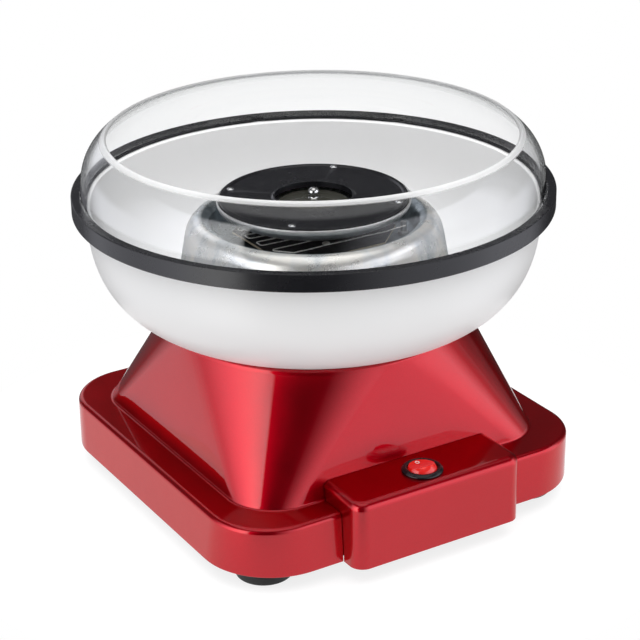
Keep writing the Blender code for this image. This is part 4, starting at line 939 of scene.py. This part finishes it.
def bowl_shell():
    """The bowl, with a flange at its edge and a collar round the hole in its floor."""
    steps = 40
    curve = []
    for step in range(steps + 1):
        turn = pi / 2 * step / steps
        r = BOWL_FLAT + (BOWL_RADIUS - BOWL_FLAT) * max(cos(turn), 0.0) ** (2 / BOWL_POWER)
        z = RING_LOW.z + (BOWL_BOTTOM_Z - RING_LOW.z) * sin(turn) ** (2 / BOWL_POWER)
        if r > BOWL_SEAT + 0.0008:
            curve.append((r, z))
    flange = BOWL_HIGH.z - BOWL_WALL
    seat = BOWL_LOW.z
    outside = [(BOWL_HIGH.x, flange), (BOWL_RADIUS + 0.0008, flange), (BOWL_RADIUS, flange - 0.0008)]
    outside += curve[1:] + [(BOWL_SEAT - 0.0006, seat), (BOWL_HOLE + 0.0008, seat)]
    outside += [(BOWL_HOLE, seat + 0.0008), (BOWL_HOLE, COLLAR_Z - 0.0004)]
    inside = [(BOWL_HIGH.x, BOWL_HIGH.z), (BOWL_RADIUS - BOWL_WALL + 0.0010, BOWL_HIGH.z)]
    inside += [(BOWL_RADIUS - BOWL_WALL, BOWL_HIGH.z - 0.0010)]
    inside += [place for place in offset_route(curve, -BOWL_WALL)[1:] if place[0] > BOWL_SEAT + 0.0030]
    floor = seat + BOWL_WALL
    inside += [(BOWL_SEAT + 0.0008, floor + 0.0001), (BOWL_HOLE + BOWL_WALL + 0.0016, floor)]
    inside += [(BOWL_HOLE + BOWL_WALL + 0.0004, floor + 0.0005), (BOWL_HOLE + BOWL_WALL, floor + 0.0018)]
    inside += [(BOWL_HOLE + BOWL_WALL, COLLAR_Z - 0.0006), (BOWL_HOLE + 0.0016, COLLAR_Z),
               (BOWL_HOLE + 0.0006, COLLAR_Z)]
    mesh = turned_mesh("bowl_shell", outside + inside[::-1], True, 200)
    new_piece("bowl_shell", mesh, "bowl", "white_plastic", ["bowl"])


def lug_mesh(name, inner, outer, half, low, high):
    """Six blocks round the axis, for the guard's lugs and for the ring's notches."""
    shape = bmesh.new()
    for angle in LUG_ANGLES:
        made = bmesh.ops.create_cube(shape, size=1.0)
        size = Vector((outer - inner, 2 * half, high - low))
        middle = Vector(((outer + inner) / 2, 0.0, (low + high) / 2))
        for vert in made["verts"]:
            vert.co = Vector([a * b for a, b in zip(vert.co, size)]) + middle
        turn = Matrix.Rotation(radians(angle), 3, "Z")
        bmesh.ops.rotate(shape, verts=made["verts"], cent=(0, 0, 0), matrix=turn)
    return finished(name, shape)


def ring_band():
    """The black ring, with the ledge that the guard stands on and notches for its lugs."""
    top, low, outer = RING_HIGH.z, RING_LOW.z, RING_HIGH.x
    web = BOWL_HIGH.z + GAP
    step = GUARD_BASE + GAP
    points = [
        (step, top, 0.0007), (outer, top, 0.0005), (outer, low, 0.0009),
        (BOWL_HIGH.x + 0.0005, low, 0.0002), (BOWL_HIGH.x + 0.0005, web, 0.0002),
        (LEDGE_RADIUS, web, 0.0004), (LEDGE_RADIUS, LEDGE_Z, 0.0004), (step, LEDGE_Z, 0.0002),
    ]
    band = turned("ring_band", points, "bowl", "black_plastic", ["rim_ring"], True, 240)
    settle(band, [lug_mesh("notches", GUARD_BASE - 0.0024, GUARD_BASE + 0.0004, 0.0044, web - 0.001,
                           LEDGE_Z + 0.001)])


def guard_radius(height):
    """Radius of the guard's outer face, which curves in towards the top."""
    low = RING_HIGH.z
    share = (GUARD_RIM / GUARD_BASE) ** GUARD_POWER
    full = (GUARD_RIM_Z - low) / (1 - share) ** (1 / GUARD_POWER)
    rise = max(height - low, 0.0) / full
    return GUARD_BASE * (1 - rise ** GUARD_POWER) ** (1 / GUARD_POWER)


def guard_across(height, depth):
    """Point of the clear wall that lies depth in from its outer face, square to that face."""
    step = 0.0002
    slope = (guard_radius(height + step) - guard_radius(height - step)) / (2 * step)
    length = sqrt(1 + slope ** 2)
    return guard_radius(height) - depth / length, height + depth * slope / length


def guard_wall():
    """Clear wall of even thickness that curves in to a rounded edge, with lugs under its foot."""
    foot_z = LEDGE_Z + GAP
    steps = 36
    heights = [foot_z + (GUARD_EDGE_Z - foot_z) * step / steps for step in range(steps + 1)]
    outer = [(guard_radius(height), height) for height in heights]
    inner = [guard_across(height, GUARD_WALL) for height in heights]
    half = GUARD_WALL / 2
    edge_radius, edge_z = guard_across(GUARD_EDGE_Z, half)
    facing = atan2(GUARD_EDGE_Z - edge_z, guard_radius(GUARD_EDGE_Z) - edge_radius)
    edge = []
    for step in range(13):
        turn = facing + pi * (1 - step / 12)
        edge.append((edge_radius + half * cos(turn), edge_z + half * sin(turn)))
    mesh = turned_mesh("guard_wall", edge + outer[-2::-1] + inner[:-1], True, 240)
    wall = new_piece("guard_wall", mesh, "guard", "clear_plastic", ["guard"])
    # Soft light passes the clear wall as if it weren't there.
    wall.visible_shadow = False
    wall.visible_diffuse = False
    lug_foot = BOWL_HIGH.z + 2 * GAP
    settle(wall, [lug_mesh("lugs", GUARD_BASE - 0.0018, GUARD_BASE - 0.0002, 0.0038, lug_foot,
                           foot_z + 0.0012)], "UNION")


# ---- Spinning head and spindle ----
DISC_LOW, DISC_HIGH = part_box("head_disc")
PAN_LOW, PAN_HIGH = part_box("head_pan")
HUB_LOW, HUB_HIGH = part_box("head_hub")
SPINDLE_LOW, SPINDLE_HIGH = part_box("spindle")
WELL_RADIUS = 0.0222
PAN_WALL = 0.0011
SPINDLE_BORE = 0.00345
PIN_HOLE = 0.0015
HUB_SKIRT = (0.1703, 0.1689, 0.1677)


def head_plate():
    """Black plate with a raised bead at its edge and another round the well."""
    outer, low = DISC_HIGH.x, DISC_LOW.z
    crown = DISC_HIGH.z
    face = crown - 0.0008
    points = [
        (WELL_RADIUS, crown, 0.0003), (WELL_RADIUS + 0.0010, crown, 0.0004),
        (WELL_RADIUS + 0.0020, face, 0.0006), (outer - 0.0034, face, 0.0008),
        (outer - 0.0022, crown - 0.0002, 0.0007), (outer, crown - 0.0002, 0.0006), (outer, low, 0.0003),
        (WELL_RADIUS, low, 0.0003),
    ]
    plate = turned("head_plate", points, "head", "black_plastic", ["head_disc"], True, 200,
                   look=HEAD_BLACK)
    settle(plate, holes("head_rivet", 4, PIN_HOLE, low - 0.002, crown + 0.002, 32))


def head_tray():
    """The aluminium pan, with its thin rim standing round the black plate."""
    rim, top, floor = PAN_HIGH.x, PAN_HIGH.z, PAN_LOW.z
    wall = PAN_WALL
    points = [
        (rim, top, 0.00054), (rim, top - 0.0014, 0.0012), (0.0548, DISC_LOW.z - 0.0008, 0.0012),
        (0.0532, 0.1682, 0.0015), (0.0460, 0.1643, 0.0040), (0.0340, floor, 0.0060),
        (0.0074, floor, 0.0003), (0.0074, floor + wall, 0.0003), (0.0336, floor + wall, 0.0060),
        (0.0456, 0.1654, 0.0040), (0.0523, 0.1691, 0.0020), (rim - wall, DISC_LOW.z + 0.0002, 0.0008),
        (rim - wall, top, 0.00054),
    ]
    turned("head_tray", points, "head", "polished_aluminium", ["head_pan"], True, 200, look=PAN_METAL)


def head_cone():
    """The shallow cone on the floor of the sugar well, with its hub and the slot for the drive pin."""
    top, plate = HUB_HIGH.z, HUB_HIGH.x
    above, below, neck = HUB_SKIRT
    pan_top = PAN_LOW.z + PAN_WALL + GAP
    points = [
        (SPINDLE_BORE, top - 0.0001, 0.0003), (0.0050, top, 0.0012), (plate, above, 0.0006),
        (plate, below, 0.0003), (0.0090, neck, 0.0004), (0.0090, pan_top, 0.0003),
        (0.0070, pan_top, 0.0), (0.0070, HUB_LOW.z, 0.0004), (SPINDLE_BORE, HUB_LOW.z, 0.0002),
    ]
    cone = turned("head_cone", points, "head", "black_plastic", ["head_hub"], True, 128, look=HUB_BLACK)
    slot_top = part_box("drive_pin")[1].z + 0.0004
    settle(cone, [block_mesh("slot", (-0.01, -0.0015, HUB_LOW.z - 0.01), (0.01, 0.0015, slot_top))])


def rivets():
    """Four domed rivets round the black plate."""
    for number, name, low, high, middle in numbered("head_rivet", 4):
        seat = high.z - 0.0011
        points = [
            (0.0, high.z, 0.0), (0.0010, high.z - 0.0001, 0.0008), (0.0021, seat + 0.0003, 0.0004),
            (0.0021, seat, 0.0001), (0.0012, seat, 0.0), (0.0012, low.z, 0.0002), (0.0, low.z, 0.0),
        ]
        turned("rivet_" + number, points, "head", "polished_aluminium", [name], False, 40,
               centre=(middle.x, middle.y, 0.0))


def spindle_shaft():
    """The shaft with its ball end, and the pin across it that turns the head."""
    radius = SPINDLE_HIGH.x
    ball_z = SPINDLE_HIGH.z - radius
    neck, collar_z = 0.0024, 0.1730
    route = []
    lowest = -acos(neck / radius)
    for step in range(25):
        turn = pi / 2 + (lowest - pi / 2) * step / 24
        route.append((max(radius * cos(turn), 0.0) if step else 0.0, ball_z + radius * sin(turn)))
    route += [(neck, collar_z + 0.0008), (neck + 0.0002, collar_z + 0.0004), (radius, collar_z)]
    route += [(radius, SPINDLE_LOW.z + 0.0005), (radius - 0.0005, SPINDLE_LOW.z), (0.0, SPINDLE_LOW.z)]
    mesh = turned_mesh("spindle_shaft", route, False, 64)
    shaft = new_piece("spindle_shaft", mesh, "rotor", "steel", ["spindle"], CHROME)
    pin_low, pin_high, middle = spot("drive_pin")
    hole = rod_mesh("hole", PIN_HOLE, -0.01, 0.01)
    hole.transform(Matrix.Translation(middle) @ Matrix.Rotation(pi / 2, 4, "Y"))
    settle(shaft, [hole])
    reach, thick = pin_high.x, (pin_high.z - pin_low.z) / 2
    points = [(0.0, reach, 0.0), (thick, reach, 0.0003), (thick, -reach, 0.0003), (0.0, -reach, 0.0)]
    turned("turning_pin", points, "rotor", "steel", ["drive_pin"], False, 32, 4, middle,
           Matrix.Rotation(pi / 2, 4, "Y"))


# ---- Heater ----
DISH_LOW, DISH_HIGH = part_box("heater_bowl")
HEATER_WALL = 0.0012
HEATER_FLOOR = 0.1474 + HEATER_WALL
BOARD_LOW, BOARD_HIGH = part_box("heater_board")
STUD_HOLE = 0.0022
WIRE_RADIUS = 0.00035  # thinner than the CAD wire, as thin as it shows in the photo
WIRE_ROWS = (0.0100, 0.0185, 0.0290)


def smooth_curve(points, pieces=8):
    """Points on a smooth curve through the given ones."""
    points = [Vector((*point, 0.0)) for point in points]
    ends = [2 * points[0] - points[1]] + points + [2 * points[-1] - points[-2]]
    route = [points[0].to_2d()]
    for before, start, end, after in zip(ends, ends[1:], ends[2:], ends[3:]):
        for piece in range(1, pieces + 1):
            t = piece / pieces
            place = 0.5 * (2 * start + (end - before) * t
                           + (2 * before - 5 * start + 4 * end - after) * t ** 2
                           + (3 * start - before - 3 * end + after) * t ** 3)
            route.append(place.to_2d())
    return [(place.x, place.y) for place in route]


def heater_dish():
    """The heater bowl: a flat floor, a wall up to a rounded lip, and a skirt down to the base."""
    crest = DISH_HIGH.z
    face = [(0.0575, HEATER_FLOOR + 0.0024), (0.0590, 0.1560), (0.0598, 0.1605),
            (0.0620, crest - 0.0009), (0.0645, crest), (0.0675, crest - 0.0006),
            (0.0700, crest - 0.0024), (0.0722, 0.1580), (0.0743, 0.1520), (0.0782, 0.1310)]
    face = [(0.0556, HEATER_FLOOR + 0.0006)] + smooth_curve(face, 7) + [(DISH_HIGH.x, DISH_LOW.z)]
    front = [(0.0120, HEATER_FLOOR), (0.0535, HEATER_FLOOR)] + face
    back = offset_route(front, -HEATER_WALL)
    back[-1] = (back[-1][0], DISH_LOW.z)
    mesh = turned_mesh("heater_dish", front + back[::-1], True, 200)
    dish = new_piece("heater_dish", mesh, "base", "polished_aluminium", ["heater_bowl"], PRESSED)
    settle(dish, holes("terminal_post", 2, STUD_HOLE, HEATER_FLOOR - 0.0086, HEATER_FLOOR + 0.0014, 24))


def wire_route():
    """Back and forth over the board, from one terminal post to the other, with rounded turns."""
    near, middle, far = WIRE_ROWS
    end = BOARD_HIGH.x - 0.0015
    far_end = 0.0310
    turn_x, turn_y = -0.0140, 0.0035
    post = spot("terminal_post_1")[2]
    half = [
        (post.x - 0.0005, post.y - 0.0028, 0.0), (far_end + 0.004, -far + 0.0008, 0.0012),
        (far_end, -far, 0.0012), (-far_end, -far, 0.0015), (-end, -middle, 0.0015),
        (end, -middle, 0.0015), (end, -near, 0.0015), (-end, -near, 0.0015), (-end, -turn_y, 0.0015),
        (turn_x, -turn_y, 0.0015),
    ]
    route = filleted(half + [(x, -y, fillet) for x, y, fillet in reversed(half)], False, 5)
    height = spot("heating_wire")[2].z
    places = []
    for (x0, y0), (x1, y1) in zip(route, route[1:]):
        pieces = max(1, round(sqrt((x1 - x0) ** 2 + (y1 - y0) ** 2) / 0.004))
        places += [(x0 + (x1 - x0) * piece / pieces, y0 + (y1 - y0) * piece / pieces)
                   for piece in range(pieces)]
    places.append(route[-1])
    return [(x, y, height + 0.00008 * sin(260.0 * x + 90.0 * y)) for x, y in places]


def heater_parts():
    """The heating wire, the flat-shaded board, the posts that hold the wire, and the terminal studs."""
    tube("element_wire", wire_route(), WIRE_RADIUS, "base", "nichrome", ["heating_wire"])
    frame["nodes"]["heater_board"].data.shade_flat()
    board = BOARD_HIGH.z
    for number, name, low, high, middle in numbered("ceramic_post", 3):
        points = [
            (0.0, high.z, 0.0), (0.0016, high.z - 0.0001, 0.0008), (0.0023, high.z - 0.0006, 0.0004),
            (0.0023, board + GAP, 0.0002), (0.0013, board + GAP, 0.0), (0.0013, BOARD_LOW.z - GAP, 0.0),
            (0.0032, BOARD_LOW.z - GAP, 0.0003), (0.0032, low.z, 0.0003), (0.0, low.z, 0.0),
        ]
        turned("wire_post_" + number, points, "base", "ceramic", [name], False, 40, 5,
               (middle.x, middle.y, 0.0))
    above, below = HEATER_FLOOR + GAP, HEATER_FLOOR - HEATER_WALL - GAP
    for number, name, low, high, middle in numbered("terminal_post", 2):
        points = [
            (0.0, high.z, 0.0), (0.0018, high.z, 0.0005), (0.0018, above + 0.0022, 0.0),
            (0.0032, above + 0.0022, 0.0004), (0.0032, above, 0.0002), (0.0018, above, 0.0),
            (0.0018, below, 0.0), (0.0032, below, 0.0002), (0.0032, below - 0.0022, 0.0004),
            (0.0018, below - 0.0022, 0.0), (0.0018, low.z, 0.0004), (0.0, low.z, 0.0),
        ]
        turned("stud_" + number, points, "base", "steel", [name], False, 32, 4,
               (middle.x, middle.y, 0.0))


# ---- Underside ----
COVER_TOP = 0.0141
SCREW_SEAT = 0.0113
BUSH_NECK = 0.0069
BUSH_FLANGE = 0.1132


def feet():
    """Rubber feet, each with a button that holds it in the base cover."""
    cover_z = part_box("base_cover")[0].z
    top = COVER_TOP
    for name in ("foot_front_left", "foot_front_right", "foot_back_left", "foot_back_right"):
        low, high, middle = spot(name)
        radius = (high.x - low.x) / 2
        points = [
            (0.0, high.z, 0.0), (0.0034, high.z, 0.0008), (0.0056, top + 0.0016, 0.0008),
            (0.0056, top + GAP, 0.0003), (0.0040, top + GAP, 0.0), (0.0040, cover_z - GAP, 0.0),
            (0.0125, cover_z - GAP, 0.0008), (0.0150, 0.0085, 0.0020), (radius, 0.0045, 0.0015),
            (radius, low.z, 0.0016), (0.0120, low.z, 0.0006), (0.0110, low.z + 0.0008, 0.0006),
            (0.0, low.z + 0.0008, 0.0),
        ]
        turned("pad_" + name[5:], points, "base", "black_rubber", [name], False, 64, 5,
               (middle.x, middle.y, 0.0))


def cover_screws():
    """Cross-head screws under the base cover."""
    under = SCREW_SEAT
    for number, name, low, high, middle in numbered("cover_screw", 4):
        points = [
            (0.0, high.z, 0.0), (0.0016, high.z - 0.0015, 0.0002), (0.0016, under, 0.0),
            (0.0038, under, 0.0003), (0.0034, under - 0.0017, 0.0009), (0.0, low.z, 0.0),
        ]
        screw = turned("screw_" + number, points, "base", "steel", [name], False, 40, 5,
                       (middle.x, middle.y, 0.0))
        arms = []
        for across, along in ((0.0019, 0.0004), (0.0004, 0.0019)):
            arms.append(block_mesh("arm", (middle.x - across, middle.y - along, low.z - 0.001),
                                   (middle.x + across, middle.y + along, low.z + 0.0011)))
        settle(screw, arms)


def inlet_bush():
    """The bush at the back where a mains lead goes in."""
    low, high, middle = spot("cord_bush")
    outer = (high.x - low.x) / 2
    back, front = high.y, low.y
    points = [
        (0.0042, back, 0.0006), (outer - 0.0010, back, 0.0012), (outer, back - 0.0012, 0.0008),
        (outer, SKIRT_INSIDE, 0.0003), (BUSH_NECK, SKIRT_INSIDE, 0.0002),
        (BUSH_NECK, BUSH_FLANGE, 0.0002),
        (0.0090, BUSH_FLANGE, 0.0003), (0.0082, front, 0.0005), (0.0042, front, 0.0004),
    ]
    turned("inlet_bush", points, "base", "black_rubber", ["cord_bush"], True, 72, 5,
           (middle.x, 0.0, middle.z), Matrix.Rotation(-pi / 2, 4, "X"))


base_shell()
switch_cover()
switch_bezel()
rocker_mark(rocker_paddle())
bowl_shell()
ring_band()
guard_wall()
head_plate()
head_tray()
head_cone()
rivets()
spindle_shaft()
heater_dish()
heater_parts()
feet()
cover_screws()
inlet_bush()
